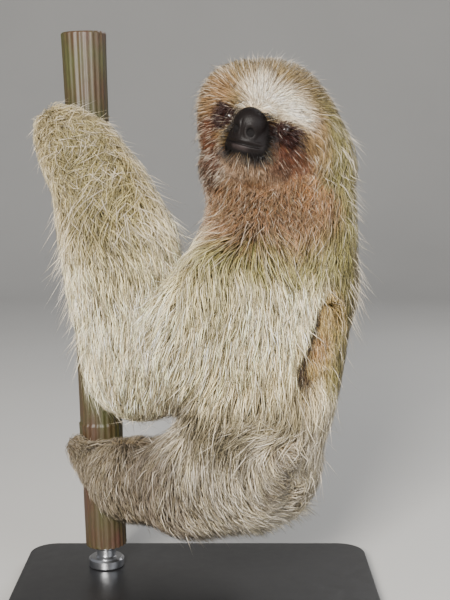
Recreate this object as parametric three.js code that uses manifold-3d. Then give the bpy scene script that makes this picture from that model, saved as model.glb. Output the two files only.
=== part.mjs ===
// Life-size still model of a brown-throated three-toed sloth clinging to a short length of
// upright stem, on a plain display stand. Millimetres, +Z up, origin under the middle of the base.
//
// Every part of the body is the outer shape of its coat: a chain of balls run together,
// measured as a distance field and meshed as a closed loft around its own axis. A part that
// meets another is cut back to leave a thin gap, so that no two solids overlap.
import * as THREE from 'three';
import Module from 'manifold-3d';

const wasm = await Module();
wasm.setup();

// ---------------------------------------------------------------- driving dimensions
const GAP = 0.35; // clearance between parts that touch
const WELD = 0.06; // points of a cut solid closer than this are one
const FACET_RISE = 1.2; // lifts the facets' corners, so that their middles reach the coat's tips
const JOINT_STEP = 3; // how much slimmer a limb's next part is where it leaves the last one
const BLEND = 12; // how softly the lumps of one part run together

const BASE = { width: 330, depth: 300, height: 14, corner: 26, edge: 1.5 };
const ROD = { radius: 9, collarRadius: 17, collarHeight: 9 };

const STEM_FOOT = new THREE.Vector3(-86, 88, 36); // middle of the cut at the lower end
const STEM_HEAD = new THREE.Vector3(-100, 88, 512); // middle of the cut at the upper end
const STEM_RADIUS = 19.5;
const SHEATHS = 4; // leaf sheaths wrapped round the stem, one above the other
const SHEATH_STEP = 1.2; // how far each sheath's rim stands out

const EYE_RADIUS = 5.6;
const EYE_SPACING = 48;
const EYE_RISE = 2.8; // above the brow's level
const EYE_DEPTH = 5; // behind the bridge of the nose
const CLAWS_PER_FOOT = 3;
const CLAW_PITCH = 11; // from one claw to the next along the stem
const HAND_CLAW = { length: 74, width: 7.2, depth: 8.4, tip: 1.5 };
const FOOT_CLAW = { length: 56, width: 6.8, depth: 7.6, tip: 1.5 };
const CLAW_TAPER = 1.6; // how late along its length a claw starts to narrow
const CLAW_TUCK = 0.6; // how much of the narrowing is taken from the outer side
const LEAST_TAPER = 0.3; // a claw's narrowest width, as a share of its widest
const CLAW_POINT = 0.06; // how far past its last ring a claw's point lies, in radians

// Which way the face looks: turned and raised from a level look along -Y, and tipped sideways.
const FACE_TURN = THREE.MathUtils.degToRad(-21);
const FACE_RAISE = THREE.MathUtils.degToRad(24.5);
const FACE_TIP = THREE.MathUtils.degToRad(14);
const BROW = new THREE.Vector3(49.7, -63.3, 429.3); // bridge of the nose, between the eyes

// ---------------------------------------------------------------- landmarks of the coat
// ball(x, y, z, radius): the coat's tips lie on the ball.
const ball = (x, y, z, radius) => ({ at: new THREE.Vector3(x, y, z), radius });
const resized = (place, change) => ({ at: place.at, radius: place.radius + change });

const crown = ball(61, -12, 427, 58);
const temple = ball(45, -12, 441, 43);
const jowl = ball(41, -12, 397, 37);
const nape = ball(87, 4, 393, 53);
const throat = ball(75.5, 4, 360, 64);
const collar = ball(75, 4, 346, 63);
const chest = ball(67, 4, 303, 71.5);
const midriff = ball(60, 0, 252, 73);
const loins = ball(52, -2, 196, 71);
const rump = ball(43, 0, 144, 63);
const sacrum = ball(54, 0, 135, 52);
const seat = ball(66, -4, 115, 27);
const tailRoot = ball(75, -54, 155, 12.5);
const tailTip = ball(62, -58, 135, 11);

const shoulderLeft = ball(20, -26, 289, 43);
const midArmLeft = ball(-6, -14, 243, 50);
const elbowLeft = ball(-44, 10, 227, 47.5);
const lowForearmLeft = ball(-56, 18, 279, 53.5);
const midForearmLeft = ball(-64, 20, 326, 53);
const highForearmLeft = ball(-79.5, 28, 371, 46);
const wristLeft = ball(-97.5, 38, 403, 32.5);
const palmLeft = ball(-112.5, 50, 419.5, 28.5);
const knucklesLeft = ball(-124, 66, 431, 20);

const shoulderRight = ball(100, 30, 288, 42);
const elbowRight = ball(57, 90, 204, 42);
const wristRight = ball(-46, 115, 252, 32);
const knucklesRight = ball(-72, 117, 264, 22);

const hipLeft = ball(37, -4, 132, 55);
const kneeLeft = ball(0, -12, 121, 42);
const ankleLeft = ball(-55, 28, 116, 35);
const soleLeft = ball(-83, 50, 121, 25.5);
const toesLeft = ball(-102, 67, 126, 16.5);

const hipRight = ball(66, 34, 131, 48);
const kneeRight = ball(20, 80, 98, 41);
const ankleRight = ball(-46, 112, 95, 31);
const toesRight = ball(-68, 117, 99, 19);

// ---------------------------------------------------------------- the face's own axes
const faceForward = new THREE.Vector3(0, -1, 0)
  .applyAxisAngle(new THREE.Vector3(1, 0, 0), -FACE_RAISE)
  .applyAxisAngle(new THREE.Vector3(0, 0, 1), FACE_TURN);
const faceRight = new THREE.Vector3(1, 0, 0)
  .applyAxisAngle(new THREE.Vector3(0, 0, 1), FACE_TURN)
  .applyAxisAngle(faceForward, -FACE_TIP);
const faceUp = new THREE.Vector3().crossVectors(faceForward, faceRight);

// A point of the face: right, up and forward of the brow.
function onFace(right, up, forward) {
  return BROW.clone()
    .addScaledVector(faceRight, right)
    .addScaledVector(faceUp, up)
    .addScaledVector(faceForward, forward);
}

const faceBall = (right, up, forward, radius) => ({ at: onFace(right, up, forward), radius });

const eyeAt = (side, forward = 0) => onFace((side * EYE_SPACING) / 2, EYE_RISE, forward - EYE_DEPTH);

// ---------------------------------------------------------------- distance fields
// About the distance from a point to the tapering limb that joins two balls.
function limbDistance(point, from, to) {
  const axis = to.at.clone().sub(from.at);
  const length = axis.length();
  axis.divideScalar(length);
  const offset = point.clone().sub(from.at);
  const along = offset.dot(axis);
  const foot = THREE.MathUtils.clamp(along, 0, length);
  const radius = THREE.MathUtils.lerp(from.radius, to.radius, foot / length);
  return offset.addScaledVector(axis, -foot).length() - radius;
}

function chainDistance(point, chain) {
  if (chain.length === 1) return point.distanceTo(chain[0].at) - chain[0].radius;
  let nearest = Infinity;
  for (let i = 1; i < chain.length; i += 1) {
    nearest = Math.min(nearest, limbDistance(point, chain[i - 1], chain[i]));
  }
  return nearest;
}

// Two distances run together over a width.
function softMinimum(a, b, width) {
  const near = Math.max(width - Math.abs(a - b), 0) / width;
  return Math.min(a, b) - near * near * width * 0.25;
}

function lumpDistance(point, lumps, blend = BLEND) {
  return lumps
    .map((chain) => chainDistance(point, chain))
    .reduce((joined, next) => softMinimum(joined, next, blend));
}

// ---------------------------------------------------------------- lofts
// Where a ray from inside a field leaves it.
function surfacePoint(centre, direction, field) {
  const point = centre.clone();
  for (let step = 0; step < 60; step += 1) {
    const distance = -field(point);
    if (Math.abs(distance) < 0.02) break;
    point.addScaledVector(direction, distance);
  }
  return point;
}

// A closed mesh from rings of points between two end points.
function closedRings(start, rings, end) {
  const count = rings[0].length;
  const points = [start, ...rings.flat(), end];
  const last = points.length - 1;
  const triangles = [];
  for (let i = 0; i < count; i += 1) {
    const next = (i + 1) % count;
    triangles.push([0, 1 + next, 1 + i]);
    triangles.push([last, last - count + i, last - count + next]);
    for (let ring = 1; ring < rings.length; ring += 1) {
      const low = 1 + (ring - 1) * count;
      const high = low + count;
      triangles.push([low + i, low + next, high + next]);
      triangles.push([low + i, high + next, high + i]);
    }
  }
  return { points, triangles };
}

// Places and directions along a spine: caps that open from each end, rings between them.
function spineStations(spine, ringCount, capCount) {
  const curve = new THREE.CatmullRomCurve3(spine, false, 'centripetal');
  const stations = [];
  for (let i = 1; i <= capCount; i += 1) {
    stations.push({ u: 0, lean: (-Math.PI / 2) * (1 - i / (capCount + 1)) });
  }
  for (let i = 0; i <= ringCount; i += 1) stations.push({ u: i / ringCount, lean: 0 });
  for (let i = 1; i <= capCount; i += 1) {
    stations.push({ u: 1, lean: ((Math.PI / 2) * i) / (capCount + 1) });
  }
  return { curve, stations };
}

// Casts rings of rays around a spine, from inside a field out to its surface.
function castAround(spine, field, { rings, caps, sides }) {
  const { curve, stations } = spineStations(spine, rings, caps);
  const across = new THREE.Vector3();
  const beside = new THREE.Vector3(0.31, -0.87, 0.39);
  const cast = stations.map(({ u, lean }) => {
    const centre = curve.getPointAt(u);
    const tangent = curve.getTangentAt(u);
    beside.addScaledVector(tangent, -beside.dot(tangent)).normalize();
    across.crossVectors(tangent, beside);
    return Array.from({ length: sides }, (_, i) => {
      const turn = (2 * Math.PI * i) / sides;
      const direction = beside.clone().multiplyScalar(Math.cos(turn) * Math.cos(lean));
      direction.addScaledVector(across, Math.sin(turn) * Math.cos(lean));
      direction.addScaledVector(tangent, Math.sin(lean));
      return surfacePoint(centre, direction.normalize(), field);
    });
  });
  const start = surfacePoint(curve.getPointAt(0), curve.getTangentAt(0).negate(), field);
  const end = surfacePoint(curve.getPointAt(1), curve.getTangentAt(1), field);
  return closedRings(start, cast, end);
}

// Casts rays from the middle of the head, in rings that crowd together on the face.
function castHead(field, { rings, sides, crowding }) {
  const centre = crown.at;
  const forward = onFace(0, -4, 20).sub(centre).normalize();
  const beside = faceRight.clone().addScaledVector(forward, -faceRight.dot(forward)).normalize();
  const across = new THREE.Vector3().crossVectors(forward, beside);
  const cast = [];
  for (let ring = 1; ring < rings; ring += 1) {
    const polar = Math.PI * (ring / rings) ** crowding;
    cast.push(
      Array.from({ length: sides }, (_, i) => {
        const turn = (2 * Math.PI * i) / sides;
        const direction = forward.clone().multiplyScalar(Math.cos(polar));
        direction.addScaledVector(beside, Math.sin(polar) * Math.cos(turn));
        direction.addScaledVector(across, Math.sin(polar) * Math.sin(turn));
        return surfacePoint(centre, direction, field);
      }),
    );
  }
  const nose = surfacePoint(centre, forward, field);
  const back = surfacePoint(centre, forward.clone().negate(), field);
  return closedRings(nose, cast, back);
}

// ---------------------------------------------------------------- solids
function toSolid({ points, triangles }) {
  const volume = triangles.reduce((sum, [a, b, c]) => {
    const cross = new THREE.Vector3().crossVectors(points[b], points[c]);
    return sum + points[a].dot(cross);
  }, 0);
  const facing = volume > 0 ? triangles : triangles.map(([a, b, c]) => [a, c, b]);
  return new wasm.Manifold(
    new wasm.Mesh({
      numProp: 3,
      vertProperties: new Float32Array(points.flatMap((p) => p.toArray())),
      triVerts: new Uint32Array(facing.flat()),
    }),
  );
}

// The number that each point gets once points closer than WELD count as one.
function weldedNumbers(places) {
  const kept = [];
  return places.map((place) => {
    const found = kept.findIndex((other) => other.distanceTo(place) < WELD);
    if (found >= 0) return found;
    kept.push(place);
    return kept.length - 1;
  });
}

// The solid as a geometry, without the slivers that cuts leave: their close points are welded,
// and faces that fold flat or lie back to back then drop out.
function toGeometry(solid) {
  const { vertProperties, triVerts } = solid.getMesh();
  const places = Array.from({ length: vertProperties.length / 3 }, (_, i) =>
    new THREE.Vector3().fromArray(vertProperties, 3 * i),
  );
  const numbers = weldedNumbers(places);
  const faces = new Map();
  for (let i = 0; i < triVerts.length; i += 3) {
    const face = [0, 1, 2].map((corner) => numbers[triVerts[i + corner]]);
    if (new Set(face).size < 3) continue;
    const key = [...face].sort((p, q) => p - q).join();
    if (faces.has(key)) faces.delete(key);
    else faces.set(key, face);
  }
  const welded = [];
  numbers.forEach((number, i) => {
    welded[number] ??= places[i];
  });
  const geometry = new THREE.BufferGeometry().setFromPoints(welded);
  geometry.setIndex([...faces.values()].flat());
  geometry.computeVertexNormals();
  return geometry;
}

// What is left of a solid after cuts, without the crumbs that a cut can leave.
function cutBy(solid, cutters) {
  const left = cutters.reduce((rest, cutter) => rest.subtract(cutter), solid);
  return left.decompose().reduce((big, next) => (next.volume() > big.volume() ? next : big));
}

// ---------------------------------------------------------------- parts of the body
const ROUND = { rings: 3, caps: 3, sides: 13 };
const LONG = { rings: 6, caps: 3, sides: 14 };
const SMALL = { rings: 2, caps: 2, sides: 12 };
const TRUNK_GRID = { rings: 7, caps: 4, sides: 17 };
const NECK_GRID = { rings: 2, caps: 1, sides: 15 };
const HEAD_GRID = { rings: 16, sides: 18, crowding: 1.4 };

// In the order that they are cut: a part is cut back by all those above it.
const bodyParts = [
  {
    name: 'trunk',
    spine: [chest, midriff, loins, rump],
    lumps: [[chest, midriff, loins, rump], [sacrum, seat]],
    grid: TRUNK_GRID,
  },
  {
    name: 'neck',
    spine: [nape, collar],
    lumps: [[nape, throat, collar]],
    grid: NECK_GRID,
  },
  { name: 'upper_arm_left', chain: [shoulderLeft, midArmLeft, elbowLeft], grid: ROUND },
  {
    name: 'forearm_left',
    chain: [
      resized(elbowLeft, -JOINT_STEP),
      lowForearmLeft,
      midForearmLeft,
      highForearmLeft,
      wristLeft,
    ],
    grid: LONG,
  },
  {
    name: 'hand_left',
    chain: [resized(wristLeft, -JOINT_STEP), palmLeft, knucklesLeft],
    grid: SMALL,
    claws: 'left_hand',
  },
  { name: 'upper_arm_right', chain: [shoulderRight, elbowRight], grid: ROUND },
  { name: 'forearm_right', chain: [resized(elbowRight, -JOINT_STEP), wristRight], grid: ROUND },
  {
    name: 'hand_right',
    chain: [resized(wristRight, -JOINT_STEP), knucklesRight],
    grid: SMALL,
    claws: 'right_hand',
  },
  { name: 'thigh_left', chain: [hipLeft, kneeLeft], grid: ROUND },
  { name: 'shank_left', chain: [resized(kneeLeft, -JOINT_STEP), ankleLeft], grid: ROUND },
  {
    name: 'foot_left',
    chain: [resized(ankleLeft, -JOINT_STEP), soleLeft, toesLeft],
    grid: SMALL,
    claws: 'left_foot',
  },
  { name: 'thigh_right', chain: [hipRight, kneeRight], grid: ROUND },
  { name: 'shank_right', chain: [resized(kneeRight, -JOINT_STEP), ankleRight], grid: ROUND },
  {
    name: 'foot_right',
    chain: [resized(ankleRight, -JOINT_STEP), toesRight],
    grid: SMALL,
    claws: 'right_foot',
  },
  { name: 'tail', chain: [tailRoot, tailTip], grid: SMALL },
];

function bodySolid({ spine, chain, lumps, grid }, swelling) {
  const path = (spine ?? chain).map((place) => place.at);
  const shape = lumps ?? [chain];
  return toSolid(castAround(path, (p) => lumpDistance(p, shape) - FACET_RISE - swelling, grid));
}

// The head: the coat's round outline, a short snout, a chin, and hollows in front of the eyes.
const HOLLOW_REACH = 9.5; // in front of the middle of the eye
const HOLLOW_RADIUS = 7.5;
const HOLLOW_BLEND = 6;
const HEAD_BLEND = 9;
const headLumps = [
  [crown],
  [temple],
  [jowl],
  [faceBall(3, 0, -36, 37), faceBall(1, -9, -24, 26)],
  [faceBall(-21, 0, -18, 15.5), faceBall(21, 0, -18, 15.5)],
  [faceBall(0, -5, -14, 19), faceBall(0, -2.5, 5.5, 14)],
  [faceBall(0, -16, -13, 17), faceBall(0, -15, 1, 11.5)],
  [faceBall(0, -21, -14, 15), faceBall(0, -20, -2, 9.5)],
];

function headDistance(point) {
  const head = lumpDistance(point, headLumps, HEAD_BLEND);
  return [-1, 1].reduce((shape, side) => {
    const hollow = point.distanceTo(eyeAt(side, HOLLOW_REACH)) - HOLLOW_RADIUS;
    return -softMinimum(-shape, hollow, HOLLOW_BLEND);
  }, head - FACET_RISE);
}

const headSolid = (swelling) => toSolid(castHead((p) => headDistance(p) - swelling, HEAD_GRID));

function ballSolid(centre, radius, detail) {
  const geometry = new THREE.IcosahedronGeometry(radius, detail);
  const places = geometry.getAttribute('position');
  const points = [];
  const found = new Map();
  const indexes = [];
  for (let i = 0; i < places.count; i += 1) {
    const point = new THREE.Vector3().fromBufferAttribute(places, i);
    const key = point.toArray().map((value) => value.toFixed(3)).join();
    if (!found.has(key)) {
      found.set(key, points.length);
      points.push(point.add(centre));
    }
    indexes.push(found.get(key));
  }
  const triangles = [];
  for (let i = 0; i < indexes.length; i += 3) triangles.push(indexes.slice(i, i + 3));
  return toSolid({ points, triangles });
}

const NOSTRIL_RADIUS = 2.6;
const nostrilAt = (side) => onFace(side * 6.3, -12.4, 14);

// ---------------------------------------------------------------- perch
const stemAxis = STEM_HEAD.clone().sub(STEM_FOOT).normalize();
const stemLength = STEM_HEAD.distanceTo(STEM_FOOT);
const stemTurn = new THREE.Quaternion().setFromUnitVectors(new THREE.Vector3(0, 0, 1), stemAxis);

// A point round the stem, at a height above the floor.
function roundStem(height, turn, radius) {
  const up = (height - STEM_FOOT.z) / stemAxis.z;
  return new THREE.Vector3(Math.cos(turn) * radius, Math.sin(turn) * radius, 0)
    .applyQuaternion(stemTurn)
    .add(STEM_FOOT)
    .addScaledVector(stemAxis, up);
}

// Rings up the stem: each sheath widens to a rim and the next starts from inside it.
function stemSolid(swelling) {
  const sides = 16;
  const profile = [];
  for (let i = 0; i < SHEATHS; i += 1) {
    profile.push([i / SHEATHS, -SHEATH_STEP / 2]);
    profile.push([(i + 0.96) / SHEATHS, SHEATH_STEP / 2]);
  }
  profile.push([1, -SHEATH_STEP / 2]);
  const ringAt = ([up, out], lift = 0) =>
    Array.from({ length: sides }, (_, i) => {
      const turn = (2 * Math.PI * i) / sides;
      const radius = STEM_RADIUS + out + swelling;
      return roundStem(STEM_FOOT.z + up * stemLength * stemAxis.z + lift, turn, radius);
    });
  const rings = profile.map((row) => ringAt(row));
  rings[0] = ringAt(profile[0], -swelling);
  rings.push(ringAt([1, -SHEATH_STEP / 2], swelling));
  const start = STEM_FOOT.clone().addScaledVector(stemAxis, -swelling);
  const end = STEM_HEAD.clone().addScaledVector(stemAxis, swelling);
  if (swelling === 0) rings.pop();
  return toSolid(closedRings(start, rings, end));
}

// ---------------------------------------------------------------- claws
// Where each foot's claws leave it, and which way round the stem they go.
const clawRows = {
  left_hand: { height: 426, turn: 205, way: -1, size: HAND_CLAW },
  right_hand: { height: 262, turn: 20, way: 1, size: HAND_CLAW },
  left_foot: { height: 124, turn: 205, way: -1, size: FOOT_CLAW },
  right_foot: { height: 97, turn: 20, way: 1, size: FOOT_CLAW },
};

// A claw is a tapering arc that hugs the stem, narrow and deep in section.
function clawSolid({ height, turn, way, size }, index, swelling) {
  const steps = 7;
  const sides = 6;
  const rise = height + (index - (CLAWS_PER_FOOT - 1) / 2) * CLAW_PITCH;
  const hugging = STEM_RADIUS + SHEATH_STEP / 2 + GAP * 2 + size.depth / 2;
  const sweep = size.length / hugging;
  const begin = THREE.MathUtils.degToRad(turn);
  const rings = [];
  for (let step = 0; step <= steps; step += 1) {
    const along = step / steps;
    const taper = 1 - (1 - size.tip / size.depth) * along ** CLAW_TAPER;
    const angle = begin + way * sweep * along;
    const radius = hugging - (size.depth / 2) * (1 - taper) * CLAW_TUCK;
    const slim = Math.max(taper, LEAST_TAPER);
    rings.push(
      Array.from({ length: sides }, (_, i) => {
        const around = (2 * Math.PI * i) / sides;
        const out = (size.depth / 2) * taper * Math.cos(around);
        const up = (size.width / 2) * slim * Math.sin(around);
        const grow = 1 + (2 * swelling) / (size.width * slim);
        return roundStem(rise + up * grow, angle, radius + out * grow);
      }),
    );
  }
  const shift = (way * swelling) / hugging;
  const start = roundStem(rise, begin - shift, hugging);
  const tipRadius = hugging - (size.depth / 2) * (1 - size.tip / size.depth) * CLAW_TUCK;
  const tipTurn = begin + way * (sweep + CLAW_POINT) + shift;
  return toSolid(closedRings(start, rings, roundStem(rise, tipTurn, tipRadius)));
}

// ---------------------------------------------------------------- stand
function baseGeometry() {
  const { width, depth, height, corner, edge } = BASE;
  const x = width / 2 - edge;
  const y = depth / 2 - edge;
  const outline = new THREE.Shape();
  outline.moveTo(-x + corner, -y);
  outline.lineTo(x - corner, -y);
  outline.absarc(x - corner, -y + corner, corner, -Math.PI / 2, 0);
  outline.absarc(x - corner, y - corner, corner, 0, Math.PI / 2);
  outline.absarc(-x + corner, y - corner, corner, Math.PI / 2, Math.PI);
  outline.absarc(-x + corner, -y + corner, corner, Math.PI, 1.5 * Math.PI);
  const geometry = new THREE.ExtrudeGeometry(outline, {
    depth: height - 2 * edge,
    bevelEnabled: true,
    bevelThickness: edge,
    bevelSize: edge,
    bevelSegments: 1,
    curveSegments: 4,
  });
  return geometry.translate(0, 0, edge);
}

// The rod and its collar, turned in one piece, from the base's top to the stem's cut.
function rodGeometry() {
  const bottom = BASE.height + GAP;
  const top = STEM_FOOT.z - STEM_RADIUS * Math.abs(stemAxis.x) - GAP;
  const { radius, collarRadius, collarHeight } = ROD;
  const outline = [
    [0, bottom],
    [collarRadius, bottom],
    [collarRadius, bottom + collarHeight - 1.5],
    [collarRadius - 1.5, bottom + collarHeight],
    [radius, bottom + collarHeight],
    [radius, top],
    [0, top],
  ];
  const geometry = new THREE.LatheGeometry(
    outline.map(([r, z]) => new THREE.Vector2(r, z)),
    18,
  );
  return geometry.rotateX(Math.PI / 2).translate(STEM_FOOT.x, STEM_FOOT.y, 0);
}

// ---------------------------------------------------------------- finishes
const finish = (color, roughness, metalness = 0) =>
  new THREE.MeshStandardMaterial({ color, roughness, metalness });

const coatFinish = finish(0xd6ccb0, 0.95);
const legFinish = finish(0xb5a894, 0.95);
const faceFinish = finish(0xcbb894, 0.95);
const throatFinish = finish(0xa98660, 0.95);
const tailFinish = finish(0xb09c80, 0.95);
const clawFinish = finish(0xb9a583, 0.45);
const eyeFinish = finish(0x140d0a, 0.08);
const stemFinish = finish(0x6b6a3c, 0.6);
const baseFinish = finish(0x1b1b1c, 0.4, 0.1);
const rodFinish = finish(0x8f9194, 0.35, 0.9);

function finishOf(name) {
  if (name === 'neck') return throatFinish;
  if (name === 'tail') return tailFinish;
  return /thigh|shank|foot/.test(name) ? legFinish : coatFinish;
}

// ---------------------------------------------------------------- assembly
const sloth = new THREE.Group();

function addMesh(name, geometry, material) {
  const mesh = new THREE.Mesh(geometry, material);
  mesh.name = name;
  sloth.add(mesh);
}

function addClaws(foot, swollen) {
  for (let index = 0; index < CLAWS_PER_FOOT; index += 1) {
    const claw = clawSolid(clawRows[foot], index, 0);
    addMesh(`claw_${foot}_${index + 1}`, toGeometry(claw), clawFinish);
    swollen.push(clawSolid(clawRows[foot], index, GAP));
  }
}

function addHead(cutters) {
  const eyes = [-1, 1].map((side) => eyeAt(side));
  const sockets = eyes.map((at) => ballSolid(at, EYE_RADIUS + GAP, 1));
  const nostrils = [-1, 1].map((side) => ballSolid(nostrilAt(side), NOSTRIL_RADIUS, 1));
  addMesh('head', toGeometry(cutBy(headSolid(0), [...sockets, ...nostrils])), faceFinish);
  addMesh('eye_right', toGeometry(ballSolid(eyes[0], EYE_RADIUS, 1)), eyeFinish);
  addMesh('eye_left', toGeometry(ballSolid(eyes[1], EYE_RADIUS, 1)), eyeFinish);
  cutters.push(headSolid(GAP));
}

const cutters = [stemSolid(GAP)];
addMesh('perch', toGeometry(stemSolid(0)), stemFinish);
Object.keys(clawRows).forEach((foot) => addClaws(foot, cutters));
addHead(cutters);
bodyParts.forEach((part) => {
  addMesh(part.name, toGeometry(cutBy(bodySolid(part, 0), cutters)), finishOf(part.name));
  cutters.push(bodySolid(part, GAP));
});
addMesh('stand_base', baseGeometry(), baseFinish);
addMesh('stand_rod', rodGeometry(), rodFinish);

export default sloth;
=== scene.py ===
"""Builds the looks of a still, life-size three-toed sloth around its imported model.

The body is one skin, taken from the same landmarks as the model's solids, and under a coat of
separate tapering tufts that follow the lie of the hair. Lengths are in millimetres until a mesh is
made, which is in metres.
"""

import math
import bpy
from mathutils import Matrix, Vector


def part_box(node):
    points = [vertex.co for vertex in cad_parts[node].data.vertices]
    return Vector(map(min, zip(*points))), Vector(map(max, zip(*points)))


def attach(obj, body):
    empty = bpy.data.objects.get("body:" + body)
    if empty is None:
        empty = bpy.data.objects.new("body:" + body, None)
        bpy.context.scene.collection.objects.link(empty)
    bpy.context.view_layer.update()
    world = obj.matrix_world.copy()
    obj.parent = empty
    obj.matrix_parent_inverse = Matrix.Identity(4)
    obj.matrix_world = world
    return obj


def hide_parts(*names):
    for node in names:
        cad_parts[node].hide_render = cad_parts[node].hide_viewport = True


bl_info = {
    "name": "Three-toed Sloth Display Model",
    "version": (1, 0, 0),
    "blender": (4, 5, 0),
    "location": "View3D > Sidebar > Sloth",
    "description": "Builds the skin, coat, eyes, claws, perch, stand and studio of a life-size sloth",
    "category": "Add Mesh",
}

from collections import namedtuple

import bmesh
import bpy
import numpy as np
from mathutils import Matrix, Vector
from mathutils.kdtree import KDTree

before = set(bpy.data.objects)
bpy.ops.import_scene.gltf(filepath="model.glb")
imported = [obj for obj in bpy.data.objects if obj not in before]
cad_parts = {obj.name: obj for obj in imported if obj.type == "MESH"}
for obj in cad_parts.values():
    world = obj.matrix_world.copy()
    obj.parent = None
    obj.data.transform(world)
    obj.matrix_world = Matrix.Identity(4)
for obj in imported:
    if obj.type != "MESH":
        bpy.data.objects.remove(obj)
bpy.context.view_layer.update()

MM = 0.001
BODY = "root"
SEED = 11

# ------------------------------------------------------------------ landmarks of the coat


def mark(x, y, z, radius):
    """A ball that the coat's tips lie on."""
    return np.array([x, y, z, radius], float)


CROWN = mark(61, -12, 427, 58)
NAPE = mark(87, 4, 393, 53)
TEMPLE = mark(45, -12, 441, 43)
JOWL = mark(41, -12, 397, 37)
THROAT = mark(75.5, 4, 360, 64)
COLLAR = mark(75, 4, 346, 63)
CHEST = mark(67, 4, 303, 71.5)
MIDRIFF = mark(60, 0, 252, 73)
LOINS = mark(52, -2, 196, 71)
RUMP = mark(43, 0, 144, 63)
SACRUM = mark(54, 0, 135, 52)
SEAT = mark(66, -4, 115, 27)
TAIL_ROOT = mark(75, -54, 155, 12.5)
TAIL_TIP = mark(62, -58, 135, 11)
SHOULDER_L = mark(20, -26, 289, 43)
MID_ARM_L = mark(-6, -14, 243, 50)
ELBOW_L = mark(-44, 10, 227, 47.5)
LOW_FOREARM_L = mark(-56, 18, 279, 53.5)
MID_FOREARM_L = mark(-64, 20, 326, 53)
HIGH_FOREARM_L = mark(-79.5, 28, 371, 46)
WRIST_L = mark(-97.5, 38, 403, 32.5)
PALM_L = mark(-112.5, 50, 419.5, 28.5)
KNUCKLES_L = mark(-124, 66, 431, 20)
SHOULDER_R = mark(100, 30, 288, 42)
ELBOW_R = mark(57, 90, 204, 42)
WRIST_R = mark(-46, 115, 252, 32)
KNUCKLES_R = mark(-72, 117, 264, 22)
HIP_L = mark(37, -4, 132, 55)
KNEE_L = mark(0, -12, 121, 42)
ANKLE_L = mark(-55, 28, 116, 35)
SOLE_L = mark(-83, 50, 121, 25.5)
TOES_L = mark(-102, 67, 126, 16.5)
TOE_PAD_L = mark(-112, 72, 136, 13)
HIP_R = mark(66, 34, 131, 48)
KNEE_R = mark(20, 80, 98, 41)
ANKLE_R = mark(-46, 112, 95, 31)
TOES_R = mark(-68, 117, 99, 19)

STEM_FOOT = np.array([-86.0, 88.0, 36.0])
STEM_HEAD = np.array([-100.0, 88.0, 512.0])
STEM_RADIUS = 19.5
SHEATHS = 4
# How far a sheath's rim stands off the stem, and the gap that the claws leave round it.
SHEATH_STEP = 1.2
GAP = 0.35

# A part of the body: its chains of landmarks, how deep its coat is, which way the hair runs,
# how long and how wide a tuft is, and how ragged its lie is. It stands for the solid of its name.
Part = namedtuple("Part", "name chains depth flow length width ragged")

HEAD_BALLS = [[CROWN, CROWN], [TEMPLE, TEMPLE], [JOWL, JOWL]]
BACK = [CHEST, MIDRIFF, LOINS, RUMP]
FOREARM_L = [ELBOW_L, LOW_FOREARM_L, MID_FOREARM_L, HIGH_FOREARM_L, WRIST_L]
PARTS = [
    Part("head", HEAD_BALLS, 10, (0, 0, -0.6), 20, 0.8, 0.12),
    Part("neck", [[NAPE, THROAT, COLLAR]], 13, (0, 0, -1), 30, 0.95, 0.16),
    Part("trunk", [BACK, [SACRUM, SEAT]], 15, (-0.1, 0, -1), 42, 1.15, 0.1),
    Part("upper_arm_left", [[SHOULDER_L, MID_ARM_L, ELBOW_L]], 14, (-0.32, 0.1, -0.9), 42, 1.1, 0.1),
    Part("forearm_left", [FOREARM_L], 14, (0.25, -0.1, -0.96), 38, 1.05, 0.12),
    Part("hand_left", [[WRIST_L, PALM_L, KNUCKLES_L]], 7, (0.3, -0.25, -0.5), 15, 0.8, 0.3),
    Part("upper_arm_right", [[SHOULDER_R, ELBOW_R]], 13, (-0.25, 0.4, -0.85), 40, 1.1, 0.16),
    Part("forearm_right", [[ELBOW_R, WRIST_R]], 12, (0.6, -0.15, -0.75), 34, 1.05, 0.2),
    Part("hand_right", [[WRIST_R, KNUCKLES_R]], 7, (0.6, -0.1, -0.5), 15, 0.8, 0.25),
    Part("thigh_left", [[HIP_L, KNEE_L]], 13, (0.25, -0.05, -0.95), 32, 1.05, 0.2),
    Part("shank_left", [[KNEE_L, ANKLE_L]], 11, (0.55, -0.2, -0.8), 28, 1.0, 0.18),
    Part("foot_left", [[ANKLE_L, SOLE_L, TOES_L, TOE_PAD_L]], 6, (0.75, -0.3, -0.5), 16, 0.8, 0.2),
    Part("thigh_right", [[HIP_R, KNEE_R]], 12, (0.2, 0.1, -0.95), 32, 1.05, 0.2),
    Part("shank_right", [[KNEE_R, ANKLE_R]], 10, (0.5, -0.15, -0.85), 28, 1.0, 0.18),
    Part("foot_right", [[ANKLE_R, TOES_R]], 6, (0.75, -0.1, -0.5), 16, 0.8, 0.2),
    Part("tail", [[TAIL_ROOT, TAIL_TIP]], 5, (-0.35, -0.2, -0.9), 15, 0.8, 0.2),
]
PART_NAMES = [part.name for part in PARTS]

# ------------------------------------------------------------------ the face's own axes


def turned(vector, axis, degrees):
    """A vector turned about an axis."""
    return Matrix.Rotation(math.radians(degrees), 3, Vector(axis)) @ Vector(vector)


FACE_TURN = -21
FACE_RAISE = 24.5
FACE_TIP = 14
FACE_FORWARD = turned(turned((0, -1, 0), (1, 0, 0), -FACE_RAISE), (0, 0, 1), FACE_TURN)
FACE_RIGHT = turned(turned((1, 0, 0), (0, 0, 1), FACE_TURN), FACE_FORWARD, -FACE_TIP)
FACE_UP = FACE_FORWARD.cross(FACE_RIGHT)
FACE_AXES = np.array([FACE_RIGHT, FACE_UP, FACE_FORWARD])
BRIDGE = np.array([49.7, -63.3, 429.3])

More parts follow.
